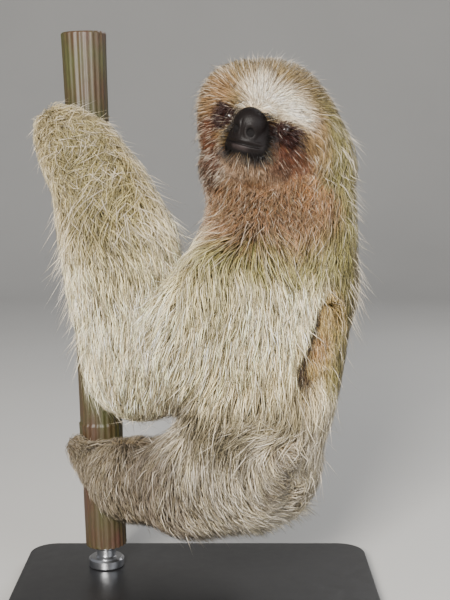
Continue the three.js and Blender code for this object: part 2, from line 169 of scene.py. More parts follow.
EYE_RADIUS = 5.6
EYE_SPACING = 48
EYE_PLACE = np.array([EYE_SPACING / 2, 2.8, -5.0])
EYE_TURN = math.radians(24)
LID_THICKNESS = 1.3
SIDES = {"right": -1, "left": 1}
LID_TILT = math.radians(-14)
LID_GAP = {"right": 1.0, "left": 0.5}
# The socket and the slit, along the slit, across it and out from the eyeball's middle.
SOCKET_PLACE = np.array([0, 0, 7.5])
SOCKET_SIZE = np.array([8.5, 6.5, 4.5])
SLIT_PLACE = np.array([0, -0.3, 6])
SLIT_LENGTH = 5.2
SLIT_DEPTH = 7

NOSTRILS = {"right": np.array([-6.2, -11.4, 13.4]), "left": np.array([6.2, -11.8, 13.0])}
NOSTRIL_SIZE = np.array([2.5, 2.8, 6.0])
NOSTRIL_RIM = 3.9
MOUTH_HEIGHT = -21.4
MOUTH_SMILE = 0.0135
MOUTH_HALF_WIDTH = 14.5
LIP_OFFSET = 2.2


def on_face(right, up, forward):
    """A point of the face: right, up and forward of the bridge of the nose."""
    return BRIDGE + np.array([right, up, forward]) @ FACE_AXES


def face_mark(right, up, forward, radius):
    """A ball placed by the face's own axes."""
    return np.append(on_face(right, up, forward), radius)


def face_coordinates(points):
    """How far points are to the right of, above and in front of the bridge of the nose."""
    return (points - BRIDGE) @ FACE_AXES.T


def eye_centre(side):
    """The middle of an eyeball."""
    return on_face(*(EYE_PLACE * [SIDES[side], 1, 1]))


FACE_LUMPS = [
    (face_mark(0, 2, -36, 37), face_mark(1, -9, -26, 26)),
    (face_mark(-21, 0, -19, 15), face_mark(21, 0, -19, 15)),
    (face_mark(0, -5, -14, 18), face_mark(0, -2.5, 5.5, 13.3)),
    (face_mark(0, -16, -13, 17), face_mark(0, -16, 0.5, 11.2)),
    (face_mark(-8, -17.5, -6, 11), face_mark(8, -17.5, -6, 11)),
    (face_mark(0, -20, -14, 15), face_mark(0, -20.5, -4, 9)),
]

# ------------------------------------------------------------------ distance fields


def cone_distance(points, start, end, trim=0.0):
    """Distance from points to the balls strung between two, each smaller by trim."""
    span = end[:3] - start[:3]
    offset = points - start[:3]
    share = np.clip(offset @ span / max(span @ span, 1e-6), 0, 1)
    radius = start[3] + (end[3] - start[3]) * share - trim
    return np.linalg.norm(offset - share[:, None] * span, axis=1) - radius


def soft_minimum(a, b, width):
    """Two distances run together over a width."""
    near = np.maximum(width - np.abs(a - b), 0) / width
    return np.minimum(a, b) - near * near * width * 0.25


def soft_cut(body, cutter, width):
    """A distance with another taken away from it."""
    return -soft_minimum(-body, cutter, width)


def smooth(value, low, high):
    """Zero below low, one above high, and a smooth step between."""
    t = np.clip((value - low) / (high - low), 0, 1)
    return t * t * (3 - 2 * t)


def ridge(distance, width):
    """One where a distance is nothing, falling smoothly to zero on both sides."""
    return np.exp(-np.square(distance / width))


def distance_to(points, place):
    """Distance from points to one place."""
    return np.linalg.norm(points - place, axis=1)


def egg_distance(points, radii):
    """Roughly the distance to an ellipsoid about the origin."""
    scaled = np.linalg.norm(points / radii, axis=1)
    steep = np.linalg.norm(points / np.square(radii), axis=1)
    return scaled * (scaled - 1) / np.maximum(steep, 1e-6)


def line_distance(points, line):
    """Distance from points to a line of straight stretches."""
    ends = [np.array(place, float) for place in line]
    nearest = np.full(len(points), np.inf)
    for start, end in zip(ends, ends[1:]):
        span = end - start
        t = np.clip((points - start) @ span / (span @ span), 0, 1)
        nearest = np.minimum(nearest, np.linalg.norm(points - start - t[:, None] * span, axis=1))
    return nearest


def part_distances(points):
    """Distance from points to the skin of each part, one row for each."""
    rows = []
    for part in PARTS:
        cones = [
            cone_distance(points, start, end, part.depth)
            for chain in part.chains
            for start, end in zip(chain, chain[1:])
        ]
        rows.append(np.minimum.reduce(cones))
    return np.array(rows)


LIMB_BLEND = 27
FACE_BLEND = 7
FACE_RADIUS = 62
TAIL_CREASE = [(50, -58, 127), (62, -65, 141), (74, -62, 146), (86, -35, 154)]
CREASE_DEPTH = 8.0
CREASE_WIDTH = 6.0


def joined_parts(points):
    """Distance to the body's parts run together, with the crease round the tail."""
    rows = part_distances(points)
    body = rows[0]
    for row in rows[1:]:
        body = soft_minimum(body, row, LIMB_BLEND)
    return body + CREASE_DEPTH * ridge(line_distance(points, TAIL_CREASE), CREASE_WIDTH)


def lid_coordinates(face, side):
    """Face coordinates about an eye: along its slit, across it, and out of it."""
    sign = SIDES[side]
    local = face - EYE_PLACE * [sign, 1, 1]
    turn = EYE_TURN * sign
    aside = local[:, 0] * math.cos(turn) - local[:, 2] * math.sin(turn)
    out = local[:, 0] * math.sin(turn) + local[:, 2] * math.cos(turn)
    local = np.column_stack([aside, local[:, 1], out])
    tilt = LID_TILT * sign
    along = local[:, 0] * math.cos(tilt) + local[:, 1] * math.sin(tilt)
    across = -local[:, 0] * math.sin(tilt) + local[:, 1] * math.cos(tilt)
    return np.column_stack([along, across, local[:, 2]])


def carve_eye(body, face, side):
    """Sinks a socket, rounds the lids over the eyeball and cuts the slit between them."""
    local = lid_coordinates(face, side)
    body = soft_cut(body, egg_distance(local - SOCKET_PLACE, SOCKET_SIZE), 3.0)
    body = soft_minimum(body, np.linalg.norm(local, axis=1) - EYE_RADIUS - LID_THICKNESS, 2.2)
    slit_size = np.array([SLIT_LENGTH, LID_GAP[side], SLIT_DEPTH])
    return soft_cut(body, egg_distance(local - SLIT_PLACE, slit_size), 0.8)


def carve_nostril(body, face, side):
    """Raises a nostril's rim and cuts its hole."""
    place = NOSTRILS[side]
    rim = np.hypot(face[:, 0] - place[0], (face[:, 1] - place[1]) * 0.8)
    body = body - 0.4 * ridge(rim - NOSTRIL_RIM, 1.2) * smooth(face[:, 2], 6, 10)
    return soft_cut(body, egg_distance(face - place, NOSTRIL_SIZE), 0.9)


def over_mouth(right, up):
    """How far points are above the line between the lips."""
    return up - (MOUTH_HEIGHT + MOUTH_SMILE * right * right)


def carve_mouth(body, face):
    """Raises the lips and cuts the mouth's line and the groove under the nose."""
    right, up, forward = face.T
    above = over_mouth(right, up)
    within = smooth(MOUTH_HALF_WIDTH - np.abs(right), -2, 2) * smooth(forward, -6, -2)
    lips = ridge(above + LIP_OFFSET, 1.4) * 0.6 + ridge(above - LIP_OFFSET, 1.3) * 0.6
    groove = ridge(right + 1.8, 0.9) * 0.3 * smooth(forward, 12, 15)
    groove = groove * smooth(up, MOUTH_HEIGHT + 1, MOUTH_HEIGHT + 4) * smooth(-up, 3, 6)
    return body + (ridge(above, 0.8) * 1.1 - lips) * within + groove


def add_face_lumps(body, points):
    """Adds the snout, chin and cheeks."""
    for start, end in FACE_LUMPS:
        body = soft_minimum(body, cone_distance(points, start, end), FACE_BLEND)
    return body


def carve_face(body, points):
    """Adds the face's forms, and cuts the eyes' slits, the nostrils and the mouth."""
    face = face_coordinates(points)
    body = add_face_lumps(body, points)
    for side in SIDES:
        body = carve_nostril(carve_eye(body, face, side), face, side)
    return carve_mouth(body, face)


def skin_distance(points):
    """Distance from points to the skin, eyelids and all."""
    body = joined_parts(points)
    near = distance_to(points, BRIDGE) < FACE_RADIUS
    if near.any():
        body[near] = carve_face(body[near], points[near])
    return body


def body_distance(points):
    """Distance to the skin without the face's small forms, for the lie of the coat."""
    return add_face_lumps(joined_parts(points), points)


def gradient(field, points, reach=0.5):
    """A field's value at points, and its unit slope there."""
    value = field(points)
    slope = np.empty_like(points)
    for axis in range(3):
        step = np.zeros(3)
        step[axis] = reach
        slope[:, axis] = field(points + step) - value
    slope /= np.maximum(np.linalg.norm(slope, axis=1), 1e-9)[:, None]
    return value, slope


# ------------------------------------------------------------------ colours and markings


def srgb(red, green, blue):
    """A colour seen on a screen, as linear light."""
    value = np.array([red, green, blue]) / 255
    return np.where(value <= 0.04045, value / 12.92, ((value + 0.055) / 1.055) ** 2.4)


CREAM = srgb(241, 231, 196)
STRAW = srgb(222, 206, 158)
DRAB = srgb(164, 146, 112)
ALGAE = srgb(150, 144, 78)
BLAZE = srgb(250, 238, 220)
HEAD_TAN = srgb(138, 116, 74)
TAN = srgb(166, 128, 90)
CHEEK = srgb(90, 54, 34)
RUST = srgb(124, 76, 52)
DEEP_RUST = srgb(82, 46, 34)
ORANGE = srgb(172, 120, 76)
UMBER = srgb(46, 20, 13)
SLATE = srgb(15, 10, 9)
CHIN = srgb(146, 120, 98)
BROWN = srgb(150, 110, 78)
TAUPE = srgb(112, 98, 84)
RUMP_GREY = srgb(172, 164, 154)
HAND_DRAB = srgb(172, 157, 114)
BACK_OLIVE = srgb(114, 102, 68)
DARK_HAIR = srgb(88, 76, 52)
SADDLE = srgb(198, 166, 102)
SADDLE_LINE = srgb(58, 36, 24)
# The lower lip's pinkish grey, lightened a little as a painted sheen.
LIP_PINK_AND_SHEEN = srgb(54, 46, 45)
# Near black, painted as shade in the nostrils and along the mouth's line.
PAINTED_HOLLOW_SHADE = srgb(10, 7, 7)
# The tint of the shade painted on the tufts toward their roots.
PAINTED_ROOT_SHADE = srgb(104, 90, 60)

# Markings, in the order that they are laid on, among them two of painted shade: a colour, a line of
# points, how wide it is, how soft its edge is, and how strongly it covers.
MARKINGS = [
    (RUMP_GREY, [(60, 0, 90), (50, 0, 140)], 84, 44, 0.8),
    (TAUPE, [(-30, 10, 119), (-102, 67, 126)], 46, 30, 0.9),
    (TAUPE, [(20, 80, 98), (-68, 117, 99)], 46, 18, 0.9),
    (TAUPE, [(75, -60, 155), (60, -62, 138)], 8, 16, 0.5),
    # Darker along the crease round the tail: painted shade in the crease.
    (TAUPE, TAIL_CREASE, 1.5, 6, 0.7),
    (STRAW, [(36, -56, 236), (88, -50, 236)], 12, 34, 0.5),
    (HAND_DRAB, [(-115, 36, 438), (-69, 4, 400), (-82, -3, 380)], 22, 48, 0.95),
    (HEAD_TAN, [(61, -12, 432), (75, 0, 400)], 62, 14, 0.95),
    (BACK_OLIVE, [(120, -16, 410), (126, -14, 340), (124, -18, 289), (120, -16, 252)], 20, 18, 1.0),
    (ALGAE, [(-96, 12, 410), (-70, -2, 376), (-62, -8, 330)], 12, 28, 0.4),
    (ALGAE, [(108, -36, 425), (114, -30, 408), (120, -24, 361), (103, -44, 338)], 14, 22, 0.7),
    (ALGAE, [(96, -46, 336), (57, -49, 333), (28, -42, 336)], 7, 18, 0.9),
    (ALGAE, [(125, -26, 318), (118, -28, 235)], 8, 14, 0.5),
    # Olive in the notch between the neck and the left arm: painted shade there, in the algae's colour.
    (ALGAE, [(-14, -20, 326), (11, -35, 318), (20, -42, 300)], 8, 24, 0.55),
    (BACK_OLIVE, [(10, -44, 196), (19, -46, 184), (48, -52, 196), (76, -54, 207)], 7, 22, 0.7),
    (BROWN, [(18, -8, 374), (43, -38, 368), (75, -47, 367), (90, -44, 370)], 19, 22, 0.95),
    (BROWN, [(14, -4, 396), (30, 30, 380)], 24, 20, 0.7),
    (TAN, [(20, -36, 448), (14, -28, 428), (22, -34, 404)], 14, 14, 0.7),
    (CHIN, [(20, -29, 398), (28, -38, 403), (36, -63, 400), (50, -69, 397), (66, -64, 396)], 10, 9, 0.95),
    (CHEEK, [(17, -31, 424), (20, -33, 411), (18, -25, 402), (16, -23, 393)], 10, 11, 1.0),
    (TAN, [(90, -48, 424), (97, -42, 404)], 9, 14, 0.7),
    (CHEEK, [(64, -64, 406), (80, -56, 398)], 8, 10, 0.85),
    (ORANGE, [(90, -46, 397), (97, -39, 379)], 7, 10, 0.9),
    (BLAZE, [(55, -53, 452), (60, -57, 447), (69, -58, 444), (79, -60, 438)], 2, 16, 0.95),
    (RUST, [(66, -69, 411), (77, -66, 408), (87, -48, 399)], 5, 8, 0.8),
    (DEEP_RUST, [(68, -70, 410), (76, -68, 409)], 2, 6, 0.7),
    (RUST, [(23, -44, 431), (17, -31, 422), (20, -33, 411)], 2, 8, 0.65),
    (SADDLE, [(110, -33, 286), (103, -40, 258), (94, -45, 236)], 12, 8, 0.95),
    (SADDLE_LINE, [(98, -43, 284), (93, -47, 257), (86, -50, 236)], 2.6, 2.4, 0.95),
    (ORANGE, [(103, -40, 256), (99, -42, 247)], 3, 8, 0.6),
    (SADDLE_LINE, [(85, -50, 231), (91, -46, 226)], 4.5, 3.5, 0.9),
]
# The same, placed by the face's own axes.
FACE_MARKINGS = [
    (BLAZE, [(-6, 13, 8), (8, 13, 8)], 3, 7, 0.9),
    (UMBER, [(17, -1, -2), (24, 0, -4), (29, -1, -9)], 7.0, 2.5, 1.0),
    (UMBER, [(-20, 2, -3), (-26, 5, -4), (-27, 0, -5)], 7.2, 2.5, 1.0),
]


WAVE_COUNT = 6
WAVE_HEIGHT = 3.2


def waves(points, scale, seed):
    """A slow random field, about from -1 to 1."""
    chance = np.random.default_rng(seed)
    total = np.zeros(len(points))
    for _ in range(WAVE_COUNT):
        way = chance.normal(size=3)
        way /= np.linalg.norm(way)
        pitch = 2 * math.pi / scale
        total += np.sin(points @ way * pitch * chance.uniform(0.6, 1.5) + chance.uniform(0, 6.28))
    return total / WAVE_HEIGHT


def tinted(colour, tint, cover):
    """Colours covered in part by another."""
    return colour + (tint - colour) * cover[:, None]


# Edges of the bare snout and of the dark hair round it: heights on the face, and how far forward
# the edge lies at each.
SNOUT_EDGE = [(-28, 9), (-24, 4), (-20, 1), (-6, 2.5), (1.5, 5), (6, 13)]
MASK_EDGE = [(-34, -3), (-28, -7), (-18, -8), (-4, -2), (3, 2), (9, 13)]


def before_edge(face, edge):
    """How far points are in front of an edge on the face."""
    return face[:, 2] - np.interp(face[:, 1], *zip(*edge))


def bare_skin(face):
    """One on the bare snout and lips, zero where hair grows."""
    beside = smooth(22 - np.abs(face[:, 0]), 0, 4)
    return smooth(before_edge(face, SNOUT_EDGE), -1.2, 1.2) * beside * smooth(face[:, 1], -29, -26)


def lay_markings(points):
    """The coat's colour at points of the skin."""
    colour = np.tile(CREAM, (len(points), 1))
    face = face_coordinates(points)
    wander = waves(points, 26, 3) * 2.5
    for places, markings in ((points, MARKINGS), (face, FACE_MARKINGS)):
        for tint, line, radius, edge, strength in markings:
            reach = line_distance(places, line) + wander * min(1, edge / 8)
            colour = tinted(colour, tint, strength * smooth(radius + edge - reach, 0, edge))
    dark = smooth(before_edge(face, MASK_EDGE), -3, 4) * smooth(-face[:, 1], 33, 27)
    dark = dark * smooth(distance_to(points, BRIDGE), 60, 40)
    return tinted(colour, SLATE, dark * smooth(23 - np.abs(face[:, 0] - 1), 0, 6))


def near_face(points):
    """One on the face, zero behind it."""
    return smooth(distance_to(points, BRIDGE), 60, 45)


def skin_colour(points):
    """The skin's colour: the coat's, darkened partly as painted shade; the bare snout's slate, and its
    lip's pink with a painted sheen; and painted shade in the nostrils and the mouth's line.
    """
    face = face_coordinates(points)
    right, up, forward = face.T
    near = near_face(points)
    bare = bare_skin(face) * near
    # Under the coat the skin takes the coat's colour darkened, partly for the darker underfur and partly
    # as painted shade deep in the coat.
    colour = tinted(lay_markings(points) * 0.6, SLATE, bare)
    above = over_mouth(right, up)
    # The lower lip: its own pinkish grey, and a painted sheen that makes it lighter than the snout.
    colour = tinted(colour, LIP_PINK_AND_SHEEN, ridge(above + 2.6, 1.5) * smooth(9 - np.abs(right), 0, 5) * bare * 0.6)
    line = ridge(above, 0.8) * smooth(MOUTH_HALF_WIDTH - np.abs(right), -1, 1)
    # The mouth's line is painted dark, as shade in its crease.
    colour = tinted(colour, PAINTED_HOLLOW_SHADE, line * smooth(forward, -6, -2) * near * 0.8)
    for side in SIDES:
        # The nostrils are painted near black, as shade inside them.
        hole = smooth(egg_distance(face - NOSTRILS[side], NOSTRIL_SIZE), 0.9, 0.2)
        colour = tinted(colour, PAINTED_HOLLOW_SHADE, hole * near)
        ball = np.linalg.norm(lid_coordinates(face, side), axis=1)
        colour = tinted(colour, UMBER * 0.6, smooth(ball, EYE_RADIUS + 3, EYE_RADIUS + 1.2) * near)
    return colour


# ------------------------------------------------------------------ meshes and materials


def new_object(name, mesh):
    """An object at the origin with a mesh."""
    piece = bpy.data.objects.new(name, mesh)
    bpy.context.scene.collection.objects.link(piece)
    return piece


def mesh_from(name, points, faces, material):
    """A smooth mesh from points in metres and faces of one size."""
    mesh = bpy.data.meshes.new(name)
    points = np.asarray(points, np.float32)
    faces = np.asarray(faces, np.int32)
    sides = faces.shape[1]
    mesh.vertices.add(len(points))
    mesh.vertices.foreach_set("co", points.ravel())
    mesh.loops.add(faces.size)
    mesh.loops.foreach_set("vertex_index", faces.ravel())
    mesh.polygons.add(len(faces))
    mesh.polygons.foreach_set("loop_start", np.arange(0, faces.size, sides, dtype=np.int32))
    mesh.update(calc_edges=True)
    smooth_faces(mesh)
    mesh.materials.append(material)
    return mesh


def mesh_of(work, name, material):
    """A mesh from a bmesh, which is then freed."""
    mesh = bpy.data.meshes.new(name)
    work.to_mesh(mesh)
    work.free()
    mesh.materials.append(material)
    return mesh


def smooth_faces(mesh):
    """Shades every face smooth."""
    mesh.polygons.foreach_set("use_smooth", np.ones(len(mesh.polygons), bool))


def set_colours(mesh, name, colours):
    """A colour for each vertex."""
    layer = mesh.attributes.new(name, "FLOAT_COLOR", "POINT")
    rgba = np.ones((len(colours), 4), np.float32)
    rgba[:, :3] = colours
    layer.data.foreach_set("color", rgba.ravel())


def finish_piece(piece, slot, *nodes):
    """Puts a piece on the body and hides the solids that it stands for; its slot is not used."""
    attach(piece, BODY)
    if nodes:
        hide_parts(*nodes)


NODE_STEP = 200


def put(tree, value, socket):
    """Joins a socket to an input, or sets the input to a plain value."""
    if isinstance(value, bpy.types.NodeSocket):
        tree.links.new(value, socket)
    else:
        socket.default_value = value


def add_node(tree, kind, *values, **named):
    """A node, its inputs filled in order, then by name; lower-case names are its own settings."""
    node = tree.nodes.new(kind)
    node.location = (NODE_STEP * len(tree.nodes), 0)
    for socket, value in zip(node.inputs, values):
        put(tree, value, socket)
    for name, value in named.items():
        if name.islower():
            setattr(node, name, value)
        else:
            put(tree, value, node.inputs[name.replace("_", " ")])
    return node


def made(tree, kind, *values, **named):
    """The first output of a new node."""
    return add_node(tree, kind, *values, **named).outputs[0]


def math_node(tree, operation, *values):
    """The result of a Math node."""
    return made(tree, "ShaderNodeMath", *values, operation=operation)


def add_inputs(tree, defaults):
    """A tree's named inputs: a vector for a default that is a tuple, a number for any other."""
    for name, default in defaults.items():
        kind = "NodeSocketVector" if isinstance(default, tuple) else "NodeSocketFloat"
        tree.interface.new_socket(name, in_out="INPUT", socket_type=kind).default_value = default
    return add_node(tree, "NodeGroupInput").outputs


def grain_group():
    """Grain on Object coordinates: a tone to multiply by, and a bump height."""
    group = bpy.data.node_groups.get("Fine Grain")
    if group:
        return group
    group = bpy.data.node_groups.new("Fine Grain", "ShaderNodeTree")
    given = add_inputs(group, {"Scale": 400, "Stretch": (1, 1, 1), "Contrast": 0.3})
    for name in ("Tone", "Height"):
        group.interface.new_socket(name, in_out="OUTPUT", socket_type="NodeSocketFloat")
    place = add_node(group, "ShaderNodeTexCoord").outputs["Object"]
    place = made(group, "ShaderNodeMapping", Vector=place, Scale=given["Stretch"])
    noise = add_node(group, "ShaderNodeTexNoise", Vector=place, Detail=4, Scale=given["Scale"])
    height = noise.outputs["Fac"]
    low = math_node(group, "SUBTRACT", 1, given["Contrast"])
    tone = made(group, "ShaderNodeMapRange", Value=height, From_Min=0.3, From_Max=0.7, To_Min=low)
    add_node(group, "NodeGroupOutput", Tone=tone, Height=height)
    return group


def add_grain(tree, scale, stretch, contrast):
    """The grain group placed in a material."""
    grain = add_node(tree, "ShaderNodeGroup", node_tree=grain_group())
    for socket, value in zip(grain.inputs, (scale, stretch, contrast)):
        socket.default_value = value
    return grain.outputs


def new_material(name, **sockets):
    """A node material whose Principled shader has the named sockets set, and its tree."""
    material = bpy.data.materials.new(name)
    material.use_nodes = True
    for socket, value in sockets.items():
        put_shader(material.node_tree, value, socket.replace("_", " "))
    return material, material.node_tree


def put_shader(tree, value, socket):
    """Joins or sets one of the Principled shader's sockets."""
    put(tree, value, tree.nodes["Principled BSDF"].inputs[socket])


def add_colour(tree, colour, *grain):
    """Puts a colour, toned by grain, on the shader, and gives the grain's height."""
    outputs = add_grain(tree, *grain)
    mix = add_node(tree, "ShaderNodeMix", 1.0, data_type="RGBA", blend_type="MULTIPLY")
    put(tree, colour if isinstance(colour, bpy.types.NodeSocket) else (*colour, 1), mix.inputs[6])
    put(tree, outputs["Tone"], mix.inputs[7])
    put_shader(tree, mix.outputs[2], "Base Color")
    return outputs["Height"]


def add_roughness(tree, value, low, high):
    """Roughness that follows a value, between two numbers."""
    rough = made(tree, "ShaderNodeMapRange", Value=value, To_Min=low, To_Max=high)
    put_shader(tree, rough, "Roughness")


def add_bump(tree, height, distance, strength):
    """A bump of a height in metres, into the shader's normal."""
    bump = made(tree, "ShaderNodeBump", Height=height, Distance=distance, Strength=strength)
    put_shader(tree, bump, "Normal")


def add_attribute(tree, name, output):
    """What a mesh carries under a name."""
    return add_node(tree, "ShaderNodeAttribute", attribute_name=name).outputs[output]


def add_ramp(tree, value, colours, ends=(0.0, 1.0)):
    """A colour between two, by a value between two ends."""
    ramp = add_node(tree, "ShaderNodeValToRGB", Fac=value)
    for element, colour, end in zip(ramp.color_ramp.elements, colours, ends):
        element.position = end
        element.color = (*colour, 1)
    return ramp.outputs["Color"]


EVEN = (1, 1, 1)


def coat_material(name):
    """Hair: the tuft's colour, painted darker toward its root as shade, with a little streaking up and
    down.
    """
    material, tree = new_material(name, Roughness=0.5, Specular_IOR_Level=0.45)
    add_colour(tree, add_attribute(tree, "coat_colour", "Color"), 900, (1, 1, 0.25), 0.22)
    return material


def skin_material():
    """Skin: painted by the markings, pebbled, and damp on the snout."""
    material, tree = new_material("sloth_skin", Specular_IOR_Level=0.14)
    pebbles = add_colour(tree, add_attribute(tree, "skin_colour", "Color"), 1100, EVEN, 0.35)
    add_roughness(tree, add_attribute(tree, "bare", "Fac"), 0.85, 0.5)
    add_bump(tree, pebbles, 0.0005, 0.5)
    return material


def eye_material():
    """A dark brown eye under a clear, wet surface."""
    wet = {"Roughness": 0.2, "Coat_Weight": 0.3, "Coat_Roughness": 0.05}
    material, tree = new_material("sloth_eye", Specular_IOR_Level=0.4, **wet)
    add_colour(tree, srgb(26, 15, 10), 700, EVEN, 0.5)
    return material


def claw_material():
    """Horn: brown-grey at the root, paler to the tip, with lengthwise scratches."""
    material, tree = new_material("claw_horn", Specular_IOR_Level=0.5)
    along = add_attribute(tree, "along", "Fac")
    colour = add_ramp(tree, along, (srgb(96, 78, 58), srgb(214, 196, 160)))
    scratches = add_colour(tree, colour, 600, (1, 1, 3), 0.35)
    add_roughness(tree, scratches, 0.3, 0.55)
    add_bump(tree, scratches, 0.0003, 0.35)
    return material


def stem_material(*colours):
    """Plant stem: long streaks of two colours, with blotches between."""
    material, tree = new_material("stem_sheath", Specular_IOR_Level=0.4)
    streaks = add_grain(tree, 220, (1, 1, 0.05), 0.6)["Height"]
    blotches = add_grain(tree, 26, (1, 1, 0.6), 0.6)["Height"]
    blend = math_node(tree, "MULTIPLY_ADD", blotches, 0.8, math_node(tree, "MULTIPLY", streaks, 0.2))
    add_colour(tree, add_ramp(tree, blend, colours, (0.36, 0.66)), 1400, (1, 1, 0.12), 0.35)
    add_roughness(tree, blotches, 0.38, 0.62)
    add_bump(tree, streaks, 0.0012, 0.5)
    return material


def lacquer_material(colour):
    """Satin lacquer with a faint orange peel and a few dull patches."""
    material, tree = new_material("stand_lacquer", Specular_IOR_Level=0.5)
    add_roughness(tree, add_colour(tree, colour, 90, EVEN, 0.2), 0.28, 0.42)
    add_bump(tree, add_grain(tree, 900, EVEN, 0.1)["Height"], 0.0002, 0.2)
    return material


def steel_material():
    """Steel brushed round the rod."""
    material, tree = new_material("stand_steel", Metallic=1.0)
    brushed = add_colour(tree, srgb(176, 177, 180), 160, (0.4, 0.4, 14), 0.18)
    add_roughness(tree, brushed, 0.24, 0.4)
    add_bump(tree, brushed, 0.0001, 0.25)
    return material


# ------------------------------------------------------------------ skin


def grid_values(field, low, counts, cell):
    """A field's values on a grid, a slab at a time."""
    steps = [low[i] + cell * np.arange(counts[i]) for i in range(3)]
    values = np.empty(counts)
    across, up = np.meshgrid(steps[1], steps[2], indexing="ij")
    for i, x in enumerate(steps[0]):
        slab = np.column_stack([np.full(across.size, x), across.ravel(), up.ravel()])
        values[i] = field(slab).reshape(across.shape)
    return values


def net_points(values, cells):
    """The number of each cell that the surface crosses, and a point in it, in cells."""
    total = np.zeros(cells + (3,))
    crossings = np.zeros(cells)

    def corner_values(i, j, k):
        """The field at one corner of every cell."""
        return values[i : i + cells[0], j : j + cells[1], k : k + cells[2]]

    edges = [(start, axis) for start in np.ndindex(2, 2, 2) for axis in range(3) if not start[axis]]
    for start, axis in edges:
        end = tuple(1 if n == axis else start[n] for n in range(3))
        a, b = corner_values(*start), corner_values(*end)
        crossed = (a < 0) != (b < 0)
        t = np.where(crossed, a / np.where(crossed, a - b, 1), 0)
        for n in range(3):
            total[..., n] += np.where(crossed, start[n] + (t if n == axis else 0), 0)
        crossings += crossed
    used = crossings > 0
    numbers = np.full(cells, -1)
    numbers[used] = np.arange(used.sum())
    return numbers, np.argwhere(used) + total[used] / crossings[used][:, None]


def net_quads(values, cells, numbers, axis):
    """The quads that cross one way through the grid, each facing outwards."""
    here = np.take(values, range(cells[axis]), axis)
    there = np.take(values, range(1, cells[axis] + 1), axis)
    places = np.argwhere((here < 0) != (there < 0))
    outward = here[tuple(places.T)] < 0
    ring = []
    for p, q in ((0, 0), (1, 0), (1, 1), (0, 1)):
        place = places.copy()
        place[:, (axis + 1) % 3] -= p
        place[:, (axis + 2) % 3] -= q
        ring.append(numbers[tuple(place.T)])
    quads = np.column_stack(ring)
    return np.where(outward[:, None], quads, quads[:, ::-1])


def surface_net(field, low, high, cell):
    """Quads where a field crosses zero, one point in each cell that it crosses."""
    counts = [int(math.ceil((high[i] - low[i]) / cell)) + 1 for i in range(3)]
    values = grid_values(field, low, counts, cell)
    cells = tuple(n - 1 for n in counts)
    numbers, points = net_points(values, cells)
    quads = [net_quads(values, cells, numbers, axis) for axis in range(3)]
    return low + cell * points, np.concatenate(quads)


def settle(points, times):
    """Moves points onto the skin."""
    for _ in range(times):
        value, slope = gradient(skin_distance, points, 0.2)
        points = points - slope * np.clip(value, -1.5, 1.5)[:, None]
    return points


def mesh_points(mesh):
    """A mesh's points in millimetres."""
    points = np.empty(len(mesh.vertices) * 3)
    mesh.vertices.foreach_get("co", points)
    return points.reshape(-1, 3) / MM


# Balls on the face, each inside the one before, in which the skin's faces are halved once more.
FACE_ROUNDS = [((0, -6, -4), 44), ((0, -6, 0), 36), ((0, -6, 0), 33)]


def refine_face(mesh):
    """Halves the skin's faces near the middle of the face, once for each round."""
    for centre, radius in FACE_ROUNDS:
        work = bmesh.new()
        work.from_mesh(mesh)
        middle = Vector(on_face(*centre) * MM)
        near = {v for v in work.verts if (v.co - middle).length < radius * MM}
        edges = [e for e in work.edges if e.verts[0] in near and e.verts[1] in near]
        bmesh.ops.subdivide_edges(work, edges=edges, cuts=1, use_grid_fill=True)
        work.to_mesh(mesh)
        work.free()


NET_MARGIN = 10


def skin_box():
    """Corners of a box that holds the whole skin."""
    balls = [(ball, part.depth) for part in PARTS for chain in part.chains for ball in chain]
    balls += [(ball, 0) for pair in FACE_LUMPS for ball in pair]
    low = np.min([ball[:3] - ball[3] + depth for ball, depth in balls], axis=0)
    high = np.max([ball[:3] + ball[3] - depth for ball, depth in balls], axis=0)
    return low - NET_MARGIN, high + NET_MARGIN


def dampness(points):
    """How bare and damp the skin is: one on the snout, zero elsewhere and in the nostrils."""
    face = face_coordinates(points)
    bare = bare_skin(face) * near_face(points)
    for place in NOSTRILS.values():
        bare *= smooth(egg_distance(face - place, NOSTRIL_SIZE), 0.2, 0.8)
    return bare


def build_skin(cell):
    """One closed skin, finer on the face."""
    points, quads = surface_net(body_distance, *skin_box(), cell)
    mesh = mesh_from("skin", points * MM, quads, skin_material())
    refine_face(mesh)
    points = settle(mesh_points(mesh), 8)
    mesh.vertices.foreach_set("co", (points * MM).astype(np.float32).ravel())
    mesh.update()
    set_colours(mesh, "skin_colour", skin_colour(points))
    layer = mesh.attributes.new("bare", "FLOAT", "POINT")
    layer.data.foreach_set("value", dampness(points).astype(np.float32))
    smooth_faces(mesh)
    return new_object("skin", mesh)


# ------------------------------------------------------------------ coat

Tufts = namedtuple("Tufts", "root normal way length width height colour hang rise part")

# A layer of the coat: its share of the tufts on the body and on the head, the fractions of a
# tuft's length where its points lie, how far each is raised and how broad it is there, the
# shares of the coat's depth between which its tufts reach, how wide and how long they are next
# to the part's own, their tone and how far it spreads.
Layer = namedtuple(
    "Layer", "name share head_share stations rise breadth low high width length tone spread"
)
SHORT = ((0, 0.35, 1), (-0.06, 0.9, 0.95), (0.9, 1, 0))
LONG = ((0, 0.22, 0.6, 1), (-0.06, 0.62, 1.0, 0.94), (0.8, 1, 0.75, 0))
SLIGHT = ((0, 0.4, 1), (-0.06, 0.85, 0.98), (0.9, 1, 0))
LAYERS = [
    # The under layer's low tone is partly the underfur's own darker colour and partly painted shade deep
    # in the coat.
    Layer("under", 0.33, 0.33, *SHORT, 0.2, 0.6, 1.05, 0.9, 0.45, 0.2),
    Layer("over", 0.42, 0.16, *LONG, 0.45, 1.0, 0.58, 1.05, 1.0, 0.34),
    Layer("fine", 0.65, 1.25, *SLIGHT, 0.6, 1.08, 0.44, 1.0, 1.1, 0.48),
]

